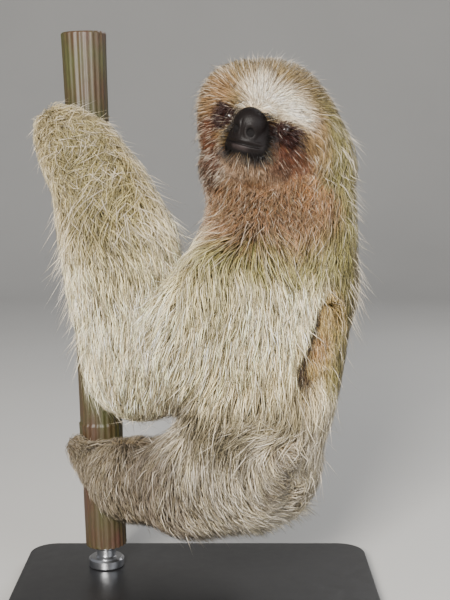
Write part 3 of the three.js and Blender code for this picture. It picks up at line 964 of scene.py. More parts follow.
SADDLE_PATH = [(106, -37, 272), (103, -40, 258), (93, -46, 232)]
SADDLE_REACH = 15
CHIN_PATH = [(30, -58, 404), (50, -72, 400), (68, -66, 402)]
# The dark patches that run out from the eyes.
EYE_PATCHES = [
    [on_face(17, -1, -2), on_face(24, 0, -5), on_face(29, -1, -9)],
    [on_face(-20, 2, -3), on_face(-25, 5, -4), on_face(-27, 1, -5)],
]
# Places that the hair round them may not cover, each a line and how far it reaches.
CLEAR_PLACES = [
    (SADDLE_PATH, SADDLE_REACH),
    ([on_face(0, -6, 8), on_face(0, -16, 8)], 12),
    *((path, 9) for path in EYE_PATCHES),
]
# Places that the hair runs out from or round, and the lines of the ruff and of messier hair.
WHORL = np.array([50.0, -74.0, 438.0])
CHEST_PARTING = np.array([48.0, -56.0, 348.0])
ARMPIT = np.array([-8.0, -30.0, 334.0])
LAP_WHORL = np.array([74.0, -62.0, 172.0])
FOREARM_SEAM = -84
RUFF = [(112, -36, 412), (122, -37, 366), (104, -54, 340)]
MESSY_FOREARM = [(-104, 20, 424), (-70, 0, 376)]
THROAT_FUZZ = [(20, -10, 376), (84, -50, 374)]
FRINGE = [(74, -8, 96), (96, 0, 106)]
# Where hair is trimmed: lines, how far from them the trim starts and where it is whole, and the
# shares of a tuft's length, depth and width that it takes.
TRIMS = [
    ([SADDLE_PATH], SADDLE_REACH + 4, SADDLE_REACH - 2, 0.72, 0.55, 0.35),
    (EYE_PATCHES, 10, 7, 0.5, 0, 0),
    ([THROAT_FUZZ], 36, 18, 0.55, 0, 0.35),
    ([CHIN_PATH], 26, 12, 0.7, 0, 0.4),
]
# Edges where long single hairs stand off the coat.
UNRULY_EDGES = [
    [(-130, 40, 430), (-104, 30, 440), (-60, 10, 396), (-30, 10, 340)],
    [(14, -12, 462), (45, -12, 482), (80, -10, 482)],
    [(118, -4, 440), (140, 4, 370), (138, 4, 300)],
    [(12, -20, 400), (14, -10, 370)],
    [(-108, 16, 330), (-96, 12, 230)],
]
DOWN = np.array([0.0, 0.0, -1.0])
RUFF_WAY = (-0.34, -0.1, -0.93)
PART_SOFTNESS = 7.0
# Parts with a coat thinner than this, the hands, feet and tail, have more and finer hair.
THIN_COAT = 8


def skin_triangles(mesh):
    """The skin's triangles: their corners, middles, and areas in square millimetres."""
    mesh.calc_loop_triangles()
    corners = np.empty(len(mesh.loop_triangles) * 3, np.int32)
    mesh.loop_triangles.foreach_get("vertices", corners)
    places = mesh_points(mesh)[corners.reshape(-1, 3)]
    cross = np.cross(places[:, 1] - places[:, 0], places[:, 2] - places[:, 0])
    return places, places.mean(1), np.linalg.norm(cross, axis=1) / 2


def near_lines(points, start, whole, *lines):
    """Zero beyond the first distance from some lines, rising to one within the second."""
    nearest = np.minimum.reduce([line_distance(points, line) for line in lines])
    return smooth(nearest, start, whole)


def face_reach(points):
    """Zero on the face, rising to one where the head's long hair starts."""
    right, up, forward = face_coordinates(points).T
    return np.maximum(smooth(np.hypot(right, up + 4), 16, 46), smooth(-forward, 22, 52))


def eye_clearance(points):
    """Zero at the eyes' slits, one away from them."""
    face = face_coordinates(points)
    clear = np.ones(len(points))
    for side in SIDES:
        local = lid_coordinates(face, side)
        clear = np.minimum(clear, smooth(np.hypot(local[:, 0], local[:, 1] * 1.7), 4.6, 6.2))
    return np.where(face[:, 2] > -18, clear, 1)


def part_blend(points, values):
    """Values of the parts, run together where parts meet."""
    rows = part_distances(points)
    weights = np.exp(-(rows - rows.min(0)) / PART_SOFTNESS)
    weights /= weights.sum(0)
    return weights.T @ np.array(values, float)


def on_head(points):
    """One on the head, zero off it."""
    return smooth(62 - distance_to(points, CROWN[:3]), 0, 10)


def hair_density(points):
    """Tufts for each square millimetre of skin, next to the body's."""
    near = distance_to(points, BRIDGE) < 60
    bare = np.where(near, bare_skin(face_coordinates(points)), 0)
    density = 1 + on_head(points) * (0.8 + 5.5 * (1 - face_reach(points)))
    fuzz = near_lines(points, 36, 20, THROAT_FUZZ)
    saddle = near_lines(points, SADDLE_REACH + 5, SADDLE_REACH, SADDLE_PATH)
    chin = near_lines(points, 26, 12, CHIN_PATH)
    fine = part_blend(points, [1.6 if part.depth < THIN_COAT else 1.0 for part in PARTS])
    density = density * fine * (1 + 1.2 * fuzz + 1.4 * saddle + 0.8 * chin)
    return density * (1 - smooth(bare, 0.2, 0.6)) * eye_clearance(points)


def unit(vectors):
    """Vectors of length one."""
    return vectors / np.maximum(np.linalg.norm(vectors, axis=1), 1e-6)[:, None]


def lead(way, toward, weight):
    """A lie drawn toward another by a weight."""
    return way + (unit(toward) - way) * weight[:, None]


def trunk_way(points, way):
    """The lie on the trunk: parted on the upper back and by the armpit, swirling in the lap."""
    x, y, z = points.T
    front = smooth(-y, -45, -10)
    off = points - CHEST_PARTING
    near = ridge(np.linalg.norm(off, axis=1), 42) * smooth(-off[:, 2], -10, 6)
    way = lead(way, unit(off) + DOWN * 0.6, near * front)
    off = points - ARMPIT
    near = ridge(np.linalg.norm(off, axis=1), 55) * smooth(off[:, 0], -8, 8)
    way = lead(way, unit(off) + DOWN * 0.7, near * front * smooth(-off[:, 2], 0, 14))
    swirl = smooth(LAP_WHORL[0] + 26 - x, 0, 34) * smooth(z, 222, 188) * smooth(-y, -70, -30)
    return lead(way, np.cross(points - LAP_WHORL, (0, 1, 0)), swirl * 0.95)


def forearm_way(points, way):
    """The lie on the raised forearm, drawn to the seam along it."""
    x, _, z = points.T
    aside = 0.75 * np.tanh((FOREARM_SEAM - x) / 14)
    seam = np.column_stack([aside, np.zeros(len(x)), -np.ones(len(x))])
    return lead(way, seam, smooth(z, 352, 378) * smooth(-x, 36, 50) * 0.85)


def head_way(points, way, ruff):
    """The lie on the head: out from the crown's whorl, and away from the snout."""
    lower_face = smooth(-face_coordinates(points)[:, 1], -2, 14)[:, None]
    off_snout = unit(points - on_face(0, -8, 6))
    radial = unit(points - WHORL) * (1 - 0.75 * lower_face) + off_snout * 0.75 * lower_face
    rows = part_distances(points)
    head = smooth(rows[1:].min(0) - rows[0], -6, 8) * smooth(points[:, 2], 372, 392)
    fall = 0.3 + 0.5 * smooth(distance_to(points, WHORL), 40, 90)
    return lead(way, radial + DOWN * fall[:, None], head * (1 - 0.6 * ruff))


def hair_way(points, normals):
    """The lie of the hair: a unit direction along the skin."""
    way = unit(part_blend(points, [part.flow for part in PARTS]))
    way = forearm_way(points, trunk_way(points, way))
    ruff = near_lines(points, 34, 16, RUFF)
    way = lead(way, np.tile(RUFF_WAY, (len(points), 1)), ruff)
    way = head_way(points, way, ruff)
    return unit(way - normals * (way * normals).sum(1)[:, None])


def turn_about(vectors, axes, angles):
    """Vectors turned about unit axes by angles."""
    cosine, sine = np.cos(angles)[:, None], np.sin(angles)[:, None]
    along = (axes * vectors).sum(1)[:, None]
    return vectors * cosine + np.cross(axes, vectors) * sine + axes * along * (1 - cosine)


# Other hairs among the tufts: the shares of the tufts from one number to another, their colour,
# and how strongly they show.
OTHER_HAIRS = [
    (0.0, 0.24, STRAW, 0.6),
    (0.24, 0.4, DRAB, 0.6),
    (0.4, 0.56, BLAZE, 0.6),
    (0.56, 0.72, DARK_HAIR, 0.75),
]


def tuft_colours(points, layer, chance):
    """Each tuft's colour: the markings, with its own tone and now and then another hair's."""
    colour = lay_markings(points + chance.normal(0, 1.2, points.shape))
    pick = chance.random(len(points))
    body = smooth(distance_to(points, BRIDGE), 34, 60)
    for low, high, other, amount in OTHER_HAIRS:
        chosen = ((pick >= low) & (pick < high)) * amount * body
        bright = colour.mean(1)[:, None] / CREAM.mean()
        colour = tinted(colour, other * np.clip(bright * 1.1, 0, 1.1), chosen)
    tone = chance.normal(layer.tone, layer.spread, len(points)) + 0.08 * waves(points, 30, 5)
    return np.clip(colour * np.clip(tone, 0.5, 1.4)[:, None], 0, 0.94)


def clear_limit(root, way, length):
    """How much of each tuft may grow before it would cover a place of short hair."""
    share = np.ones(len(root))
    for line, reach in CLEAR_PLACES:
        outside = line_distance(root, line) > reach
        for step in np.linspace(1, 0.1, 10):
            place = root + way * (length * step)[:, None]
            covers = outside & (line_distance(place, line) < reach)
            share = np.where(covers, np.minimum(share, step * 0.9), share)
    return share


def scatter_roots(mesh, density, layer, chance):
    """Random places on the skin, as many on each triangle as the hair's density asks for."""
    places, middles, areas = skin_triangles(mesh)
    share = layer.share + (layer.head_share - layer.share) * on_head(middles)
    expected = areas * density * share * hair_density(middles)
    wanted = int(expected.sum())
    chosen = chance.choice(len(areas), wanted, p=expected / expected.sum())
    mix = chance.random((wanted, 2))
    flip = mix.sum(1) > 1
    mix[flip] = 1 - mix[flip]
    first, second, third = places[chosen].transpose(1, 0, 2)
    return first + mix[:, :1] * (second - first) + mix[:, 1:] * (third - first)


def throat_fuzz(points):
    """One on the throat's short, ragged hair, zero off it."""
    return near_lines(points, 36, 18, THROAT_FUZZ)


def tuft_sizes(root):
    """How deep, long, wide and ragged the tuft at each root is."""
    blended = part_blend(root, [(p.depth, p.length, p.width, p.ragged) for p in PARTS])
    depth, length, width, ragged = blended.T
    reach, head = face_reach(root), on_head(root)
    length = length * (1 - head * (1 - (0.24 + 0.76 * reach)))
    depth = depth * (1 - head * (1 - (0.3 + 0.7 * reach)))
    width = width * (1 - head * (0.5 - 0.3 * reach))
    for lines, start, whole, shorter, flatter, finer in TRIMS:
        trim = near_lines(root, start, whole, *lines)
        length *= 1 - shorter * trim
        depth *= 1 - flatter * trim
        width *= 1 - finer * trim
    length *= 1 + 0.5 * near_lines(root, 26, 12, FRINGE)
    ragged = ragged + 0.3 * throat_fuzz(root) + 0.4 * near_lines(root, 52, 26, MESSY_FOREARM)
    return depth, length, width, ragged


def tuft_ways(root, normal, ragged, chance):
    """The way each tuft runs: the lie of the hair, with some disorder."""
    lean = chance.normal(0, 1, len(root)) * ragged
    lean = lean + waves(root, 38, 8) * 0.14 + waves(root, 15, 9) * 0.1
    return turn_about(hair_way(root, normal), normal, lean)


def tuft_hang(root, normal):
    """How freely hair hangs: one under the body, less on the head and at the raised elbow."""
    elbow = smooth(distance_to(root, ELBOW_L[:3]), 70, 48)
    under = smooth(-normal[:, 2], 0.25, 0.85)
    return under * (1 - 0.8 * on_head(root)) * (1 - 0.75 * elbow)


def plant_tufts(mesh, density, layer, chance):
    """Roots scattered over the skin, each with its lie, length, width, height and colour."""
    root = scatter_roots(mesh, density, layer, chance)
    count = len(root)
    normal = gradient(body_distance, root)[1]
    depth, length, width, ragged = tuft_sizes(root)
    way = tuft_ways(root, normal, ragged, chance)
    hang = tuft_hang(root, normal)
    length *= chance.uniform(0.7, 1.15, count) * (1 - 0.35 * hang) * layer.length
    length *= clear_limit(root, way, length)
    height = depth * (layer.low + (layer.high - layer.low) * chance.beta(1.8, 1.4, count))
    odds = (0.03 + 0.12 * near_lines(root, 42, 20, *UNRULY_EDGES)) * (layer.name == "fine")
    stray = (chance.random(count) < odds).astype(float)
    rise = stray * chance.uniform(0.4, 1.7, count)
    rise = rise * (1 - 0.7 * throat_fuzz(root)) * (1 - 0.45 * on_head(root))
    width = width * layer.width * chance.uniform(0.7, 1.25, count) * (1 + 0.05 * stray)
    colour = tinted(tuft_colours(root, layer, chance), BLAZE * 0.85, 0.6 * stray)
    part = part_distances(root).argmin(0)
    return Tufts(root, normal, way, length, width, height, colour, hang, rise, part)


# How much a stray hair and a tuft bend aside, and how far the skin may lie from a tuft's line, on
# either side, for the tuft to follow it.
STRAY_BEND = 0.42
TUFT_BEND = 0.08
DEEPEST, HIGHEST = -6, 14


def lay_tufts(tufts, layer, chance):
    """The line of each tuft: points that rise from the skin and run along it."""
    base, normal, way = tufts.root, tufts.normal, tufts.way
    lines = [base + normal * (layer.rise[0] * tufts.height)[:, None]]
    normals = [normal]
    bend = chance.normal(0, 1, len(base)) * np.where(tufts.rise > 0, STRAY_BEND, TUFT_BEND)
    for index in range(1, len(layer.stations)):
        share = layer.stations[index]
        step = (share - layer.stations[index - 1]) * tufts.length
        moved = base + way * step[:, None]
        value, normal = gradient(body_distance, moved)
        value = np.clip(value, DEEPEST, HIGHEST)
        base = moved - normal * (value * (1 - 0.8 * tufts.hang))[:, None]
        lift = (layer.rise[index] + tufts.rise * share * share) * tufts.height * (1 - 0.6 * tufts.hang)
        lines.append(base + normal * lift[:, None])
        normals.append(normal)
        way = way + DOWN * (0.7 * tufts.hang)[:, None]
        way = unit(way - normal * ((way * normal).sum(1) * (1 - tufts.hang))[:, None])
        way = turn_about(way, normal, bend * step / 14)
    return np.array(lines), np.array(normals)


TUFTS_IN_LOCK = 13
LOCK_PULL = 0.32


def gather_locks(tufts, layer, lines, chance):
    """Draws the tips of neighbouring tufts together into locks."""
    count = len(tufts.root)
    heads = chance.permutation(count)[: max(8, count // TUFTS_IN_LOCK)]
    tree = KDTree(len(heads))
    for number, place in enumerate(tufts.root[heads]):
        tree.insert(place, number)
    tree.balance()
    nearest = np.array([tree.find(place)[1] for place in tufts.root])
    leader = heads[nearest]
    same = (tufts.part[leader] == tufts.part).astype(float)
    alike = np.clip((tufts.way[leader] * tufts.way).sum(1), 0, 1)
    amount = LOCK_PULL * same * alike * chance.uniform(0.3, 1.4, count)
    amount *= smooth(tufts.length, 8, 22)
    scale = (tufts.length / tufts.length[leader])[:, None]
    for index, share in enumerate(layer.stations):
        to_leader = lines[0][leader] + (lines[index][leader] - lines[0][leader]) * scale
        gap = to_leader - lines[index]
        level = (gap * tufts.normal).sum(1)[:, None] * tufts.normal
        lines[index] = lines[index] + (gap - level) * (amount * share)[:, None]
    return lines


STEM_CLEARANCE = 0.8


def clear_stem(lines):
    """Pushes tufts out of the stem that the sloth holds."""
    axis = (STEM_HEAD - STEM_FOOT) / np.linalg.norm(STEM_HEAD - STEM_FOOT)
    flat = lines.reshape(-1, 3)
    offset = flat - STEM_FOOT
    along = offset @ axis
    aside = offset - along[:, None] * axis
    distance = np.maximum(np.linalg.norm(aside, axis=1), 1e-6)
    least = STEM_RADIUS + SHEATH_STEP + STEM_CLEARANCE
    push = np.where(distance < least, least / distance, 1)
    return (STEM_FOOT + along[:, None] * axis + aside * push[:, None]).reshape(lines.shape)


# A tuft's section is a triangle, two edges on the coat and a ridge that stands out, and its end
# is a point.
SECTION = [(-0.5, -0.12), (0.5, -0.12), (0.0, 0.36)]
POINT = [(0, 0)]
# The size of a tuft's patch on the unwrap, and the shade painted at its root: how dark the root is
# painted and how much of its lit colour it keeps.
PATCH = 0.003
ROOT_SHADE = 0.8
ROOT_LIGHT = 0.28


def tuft_faces(rings):
    """The triangles of one tuft: a root, walls and a point, with its faces outwards."""
    faces = [(0, 2, 1)]
    for ring in range(rings - 1):
        for side in range(3):
            a, b = 3 * ring + side, 3 * ring + (side + 1) % 3
            faces += [(a, b, b + 3), (a, b + 3, a + 3)]
    last = 3 * (rings - 1)
    faces += [(last + side, last + (side + 1) % 3, last + 3) for side in range(3)]
    return np.array(faces)


def tuft_corners(lines, normals, tufts, layer):
    """The corners of each tuft, and their places across and along it."""
    rings, count = lines.shape[0] - 1, lines.shape[1]
    points = np.empty((count, 3 * rings + 1, 3))
    offsets = np.empty((count, 3 * rings + 1, 2))
    for index in range(rings + 1):
        after, before = min(index + 1, rings), max(index - 1, 0)
        way = unit(lines[after] - lines[before])
        out = unit(normals[index] - way * (normals[index] * way).sum(1)[:, None])
        side = np.cross(way, out)
        breadth = (tufts.width * layer.breadth[index])[:, None]
        section = SECTION if index < rings else POINT
        for place, (across, above) in enumerate(section, 3 * index):
            points[:, place] = lines[index] + (side * across + out * above) * breadth
            offsets[:, place] = (across, layer.stations[index] - 0.5)
    return points, offsets


def tuft_mesh(name, lines, normals, tufts, layer, unwrap, material):
    """One closed mesh of many tufts, with each one's patch on the unwrapped skin."""
    points, offsets = tuft_corners(lines, normals, tufts, layer)
    count, each = points.shape[:2]
    faces = tuft_faces(len(lines) - 1)[None] + each * np.arange(count)[:, None, None]
    faces = faces.reshape(-1, 3)
    mesh = mesh_from(name, points.reshape(-1, 3) * MM, faces, material)
    # Each tuft is painted darker toward its root, as painted shade deep in the coat.
    along = np.tile(np.repeat(layer.stations, 3)[:each], count)
    light = smooth(along, -0.1, 0.6) * (1 - ROOT_LIGHT) + ROOT_LIGHT
    tone = np.repeat(tufts.colour, each, axis=0)
    set_colours(mesh, "coat_colour", tinted(tone * PAINTED_ROOT_SHADE / PAINTED_ROOT_SHADE.max() * ROOT_SHADE, tone, light))
    uv = mesh.uv_layers.new(name="OFBake")
    patch = np.repeat(unwrap, each, axis=0) + offsets.reshape(-1, 2) * PATCH
    uv.data.foreach_set("uv", patch[faces.ravel()].astype(np.float32).ravel())
    return mesh


# The side of a part where its unwrap is cut open.
UNWRAP_SEAM = (0.3, 0.9, 0.31)


def unwrap_part(part, points):
    """Places on an unwrap of a part's skin: round its axis, and along it."""
    chain = part.chains[0]
    start, end = chain[0][:3], chain[-1][:3]
    if np.allclose(start, end):
        end = start + np.array(FACE_FORWARD) * 10
    axis = (end - start) / np.linalg.norm(end - start)
    side = np.cross(axis, UNWRAP_SEAM)
    side /= np.linalg.norm(side)
    offset = points - start
    turn = np.arctan2(offset @ np.cross(axis, side), offset @ side) / (2 * math.pi) + 0.5
    along = offset @ axis
    if part.name == "head":
        along = np.arccos(np.clip(along / np.linalg.norm(offset, axis=1), -1, 1))
    low, high = along.min(), along.max()
    return 0.01 + 0.98 * np.column_stack([turn, (along - low) / max(high - low, 1e-6)])


MOST_TRIANGLES = 190000
LEG_PARTS = ("thigh", "shank", "foot", "tail")
COAT_SLOTS = {"head": "face_coat", "neck": "throat_coat"}


def slot_of(name):
    """The material slot for a part's coat."""
    if name.startswith(LEG_PARTS):
        return "leg_coat"
    return COAT_SLOTS.get(name, "body_coat")


def coat_materials():
    """The coat's material for each slot."""
    slots = sorted({slot_of(name) for name in PART_NAMES})
    return {slot: coat_material(f"hair_{slot}") for slot in slots}


def build_layer(skin, density, layer, materials, chance):
    """One layer of the coat, as pieces that each belong to one part of the body."""
    tufts = plant_tufts(skin.data, density, layer, chance)
    lines, normals = lay_tufts(tufts, layer, chance)
    lines = clear_stem(gather_locks(tufts, layer, lines, chance))
    most = MOST_TRIANGLES // len(tuft_faces(len(layer.stations) - 1))
    pieces = []
    for number, part in enumerate(PARTS):
        slot = slot_of(part.name)
        chosen = np.flatnonzero(tufts.part == number)
        order = chosen[np.argsort(-tufts.root[chosen, 2], kind="stable")]
        shares = max(1, math.ceil(len(order) / most))
        unwrap = unwrap_part(part, tufts.root[order])
        for share, places in enumerate(np.array_split(np.arange(len(order)), shares)):
            some = order[places]
            name = f"coat_{part.name}_{layer.name}_{share + 1}"
            kept = Tufts(*(values[some] for values in tufts))
            mesh = tuft_mesh(
                name, lines[:, some], normals[:, some], kept, layer, unwrap[places], materials[slot]
            )
            pieces.append((new_object(name, mesh), slot))
    return pieces


def build_coat(skin, density):
    """The whole coat."""
    chance = np.random.default_rng(SEED)
    materials = coat_materials()
    pieces = []
    for layer in LAYERS:
        pieces += build_layer(skin, density, layer, materials, chance)
    return pieces


# ------------------------------------------------------------------ eyes


EYE_INSET = 0.25
BULGE_HEIGHT = 0.35
BULGE_START = 0.8
BULGE_REACH = 0.2


def build_eye(side, material):
    """An eyeball with a bulge in front."""
    work = bmesh.new()
    bmesh.ops.create_uvsphere(work, u_segments=48, v_segments=32, radius=1)
    outward = Vector((SIDES[side] * math.sin(EYE_TURN), 0, math.cos(EYE_TURN)))
    front = outward @ Matrix(FACE_AXES.tolist())
    centre = Vector(eye_centre(side))
    for vertex in work.verts:
        way = vertex.co.normalized()
        bulge = max(0.0, (way.dot(front) - BULGE_START) / BULGE_REACH)
        radius = EYE_RADIUS - EYE_INSET + BULGE_HEIGHT * bulge * (2 - bulge)
        vertex.co = (centre + way * radius) * MM
    mesh = mesh_of(work, f"eye_{side}", material)
    smooth_faces(mesh)
    return new_object(f"eyeball_{side}", mesh)


# ------------------------------------------------------------------ geometry node helpers


def new_tree(name, defaults):
    """A geometry node tree with a geometry output, and its named inputs."""
    tree = bpy.data.node_groups.new(name, "GeometryNodeTree")
    tree.interface.new_socket("Geometry", in_out="OUTPUT", socket_type="NodeSocketGeometry")
    return tree, add_inputs(tree, defaults)


def run_tree(name, tree, values):
    """The plain mesh that a tree makes with the given inputs."""
    holder = new_object(name, bpy.data.meshes.new(name))
    modifier = holder.modifiers.new("shape", "NODES")
    modifier.node_group = tree
    for item in tree.interface.items_tree:
        if item.item_type == "SOCKET" and item.in_out == "INPUT" and item.name in values:
            modifier[item.identifier] = values[item.name]
    graph = bpy.context.evaluated_depsgraph_get()
    mesh = bpy.data.meshes.new_from_object(holder.evaluated_get(graph))
    holder.modifiers.remove(modifier)
    holder.data = mesh
    mesh.name = name
    return holder


def sweep(tree, line, ring, scale):
    """A ring swept along a line, its ends closed."""
    ends = {"Profile_Curve": ring, "Scale": scale, "Fill_Caps": True}
    return made(tree, "GeometryNodeCurveToMesh", Curve=line, **ends)


def fine_line(tree, count, **ends):
    """A straight curve of a number of points, and how far along it each lies."""
    line = made(tree, "GeometryNodeCurvePrimitiveLine", **ends)
    line = made(tree, "GeometryNodeResampleCurve", Curve=line, Count=count)
    return line, made(tree, "GeometryNodeSplineParameter")


def end_tree(tree, geometry, material):
    """Realizes the instances and sets the material."""
    geometry = made(tree, "GeometryNodeRealizeInstances", Geometry=geometry)
    geometry = made(tree, "GeometryNodeSetMaterial", Geometry=geometry, Material=material)
    add_node(tree, "NodeGroupOutput", Geometry=geometry)


# ------------------------------------------------------------------ claws

CLAWS_PER_FOOT = 3
CLAW_PITCH = 11
ClawRow = namedtuple("ClawRow", "name height turn way length width depth tip")
CLAW_ROWS = [
    ClawRow("left_hand", 426, 205, -1, 74, 7.2, 8.4, 1.5),
    ClawRow("right_hand", 262, 20, 1, 74, 7.2, 8.4, 1.5),
    ClawRow("left_foot", 124, 205, -1, 56, 6.8, 7.6, 1.5),
    ClawRow("right_foot", 97, 20, 1, 56, 6.8, 7.6, 1.5),
]


def claw_arc(tree, given, along, taper):
    """Places on an arc round the stem, drawn in a little as the claw thins."""
    angle = math_node(tree, "MULTIPLY_ADD", given["Sweep"], along, given["Begin"])
    inward = math_node(tree, "MULTIPLY", math_node(tree, "SUBTRACT", 1, taper), -0.3)
    radius = math_node(tree, "MULTIPLY_ADD", inward, given["Depth"], given["Hug Radius"])
    across = math_node(tree, "MULTIPLY", math_node(tree, "COSINE", angle), radius)
    aside = math_node(tree, "MULTIPLY", math_node(tree, "SINE", angle), radius)
    return made(tree, "ShaderNodeCombineXYZ", across, aside, 0.0)


def claw_tree(material):
    """A tapering arc that hugs the stem, oval in section."""
    sizes = {"Hug Radius": 0.025, "Begin": 0.0, "Sweep": 2.5, "Width": 0.007, "Depth": 0.008}
    places = {"Tip": 0.2, "Place": (0, 0, 0), "Lean": (0, 0, 0)}
    tree, given = new_tree("Hooked Claw", {**sizes, **places})
    line, along = fine_line(tree, 40)
    lost = math_node(tree, "SUBTRACT", 1, given["Tip"])
    lost = math_node(tree, "MULTIPLY", lost, math_node(tree, "POWER", along, 1.6))
    taper = math_node(tree, "SUBTRACT", 1, lost)
    place = claw_arc(tree, given, along, taper)
    line = made(tree, "GeometryNodeSetPosition", Geometry=line, Position=place)
    line = made(tree, "GeometryNodeSetCurveNormal", line, mode="Z_UP")
    line = made(tree, "GeometryNodeStoreNamedAttribute", Geometry=line, Name="along", Value=along)
    ring = made(tree, "GeometryNodeCurvePrimitiveCircle", Resolution=20, Radius=0.5)
    oval = made(tree, "ShaderNodeCombineXYZ", given["Depth"], given["Width"], 1.0)
    ring = made(tree, "GeometryNodeTransform", Geometry=ring, Scale=oval)
    claw = made(tree, "GeometryNodeSetShadeSmooth", Geometry=sweep(tree, line, ring, taper))
    ends = {"Translation": given["Place"], "Rotation": given["Lean"]}
    end_tree(tree, made(tree, "GeometryNodeTransform", Geometry=claw, **ends), material)
    return tree


def stem_lean():
    """The turn that stands a thing upright along the stem."""
    axis = Vector(STEM_HEAD - STEM_FOOT).normalized()
    return Vector((0, 0, 1)).rotation_difference(axis).to_euler()


def on_stem(height):
    """The stem's middle at a height above the floor."""
    share = (height - STEM_FOOT[2]) / (STEM_HEAD[2] - STEM_FOOT[2])
    return (STEM_FOOT + (STEM_HEAD - STEM_FOOT) * share) * MM


def claw_values(row, index):
    """The inputs that shape and place one claw of a row."""
    hug = STEM_RADIUS + SHEATH_STEP / 2 + 2 * GAP + row.depth / 2
    height = row.height + (index - (CLAWS_PER_FOOT - 1) / 2) * CLAW_PITCH
    return {
        "Hug Radius": hug * MM,
        "Begin": math.radians(row.turn),
        "Sweep": row.way * row.length / hug,
        "Width": row.width * MM,
        "Depth": row.depth * MM,
        "Tip": row.tip / row.depth,
        "Place": on_stem(height).tolist(),
        "Lean": list(stem_lean()),
    }


def build_claws():
    """Every claw, as a piece of its own over its solid."""
    tree = claw_tree(claw_material())
    pieces = []
    for row in CLAW_ROWS:
        for index in range(CLAWS_PER_FOOT):
            place = f"{row.name}_{index + 1}"
            piece = run_tree(f"hook_{place}", tree, claw_values(row, index))
            pieces.append((piece, f"claw_{place}"))
    return pieces


# ------------------------------------------------------------------ perch


def stem_bumps(tree, given, apart):
    """Ribs round the stem and small bumps all over, but none on its flat ends."""
    turn = math_node(tree, "ARCTAN2", apart[1], apart[0])
    ribs = math_node(tree, "SINE", math_node(tree, "MULTIPLY", turn, given["Ribs"]))
    ribs = math_node(tree, "MULTIPLY", ribs, given["Rib Height"])
    place = made(tree, "GeometryNodeInputPosition")
    place = made(tree, "ShaderNodeVectorMath", place, (1, 1, 0.35), operation="MULTIPLY")
    noise = made(tree, "ShaderNodeTexNoise", Vector=place, Scale=55.0, Detail=5.0)
    rough = math_node(tree, "SUBTRACT", noise, 0.5)
    bumps = math_node(tree, "MULTIPLY_ADD", rough, given["Roughness"], ribs)
    wall = math_node(tree, "LESS_THAN", math_node(tree, "ABSOLUTE", apart[2]), 0.7)
    return math_node(tree, "MULTIPLY", bumps, wall)


def stem_tree(material):
    """A ribbed stem wrapped in leaf sheaths, each one widening to a lifted rim."""
    ends = {"Foot": (0, 0, 0), "Head": (0, 0, 1), "Radius": 0.0195, "Sheaths": 4.0, "Rim": 0.0012}
    relief = {"Ribs": 22.0, "Rib Height": 0.0004, "Roughness": 0.0007}
    tree, given = new_tree("Sheathed Stem", {**ends, **relief})
    line, along = fine_line(tree, 420, Start=given["Foot"], End=given["Head"])
    step = math_node(tree, "FRACT", math_node(tree, "MULTIPLY", along, given["Sheaths"]))
    flare = math_node(tree, "POWER", step, 3.0)
    wide = math_node(tree, "MULTIPLY_ADD", flare, given["Rim"], given["Radius"])
    scale = math_node(tree, "ADD", wide, math_node(tree, "MULTIPLY", given["Rim"], -0.5))
    ring = made(tree, "GeometryNodeCurvePrimitiveCircle", Resolution=132, Radius=1.0)
    stem = sweep(tree, line, ring, scale)
    normal = made(tree, "GeometryNodeInputNormal")
    apart = add_node(tree, "ShaderNodeSeparateXYZ", normal).outputs
    bumps = stem_bumps(tree, given, apart)
    push = made(tree, "ShaderNodeVectorMath", normal, operation="SCALE", Scale=bumps)
    stem = made(tree, "GeometryNodeSetPosition", Geometry=stem, Offset=push)
    end_tree(tree, made(tree, "GeometryNodeSetShadeSmooth", Geometry=stem), material)
    return tree


def build_perch(settings):
    """The stem."""
    material = stem_material(tuple(settings.stem_red), tuple(settings.stem_green))
    values = {
        "Foot": (STEM_FOOT * MM).tolist(),
        "Head": (STEM_HEAD * MM).tolist(),
        "Radius": STEM_RADIUS * MM,
        "Sheaths": float(SHEATHS),
        "Rim": SHEATH_STEP * MM,
        "Ribs": float(settings.ribs),
    }
    return run_tree("stem", stem_tree(material), values)


# ------------------------------------------------------------------ stand


def lathe(name, outline, centre, steps, material):
    """A closed turned piece: an outline of radius and height, spun about an upright axis."""
    work = bmesh.new()
    rings = []
    for radius, height in outline:
        turns = [2 * math.pi * index / steps for index in range(steps if radius else 1)]
        places = [(radius * math.cos(turn), radius * math.sin(turn)) for turn in turns]
        rings.append([work.verts.new((centre[0] + x, centre[1] + y, height)) for x, y in places])
    for low, high in zip(rings, rings[1:]):
        for index in range(steps):
            after = (index + 1) % steps
            corners = [low[index % len(low)], low[after % len(low)]]
            corners += [high[after % len(high)], high[index % len(high)]]
            work.faces.new(list(dict.fromkeys(corners)))
    bmesh.ops.recalc_face_normals(work, faces=work.faces)
    return new_object(name, mesh_of(work, name, material))


def smooth_by_angle(piece, degrees):
    """Smooth faces, with the edges sharper than an angle kept sharp."""
    smooth_faces(piece.data)
    piece.data.set_sharp_from_angle(angle=math.radians(degrees))


ROD_RADIUS = 0.009
COLLAR_HEIGHT = 0.009
CHAMFER = 0.0009
FILLET = 0.0015
GROOVE_DEPTH = 0.0005


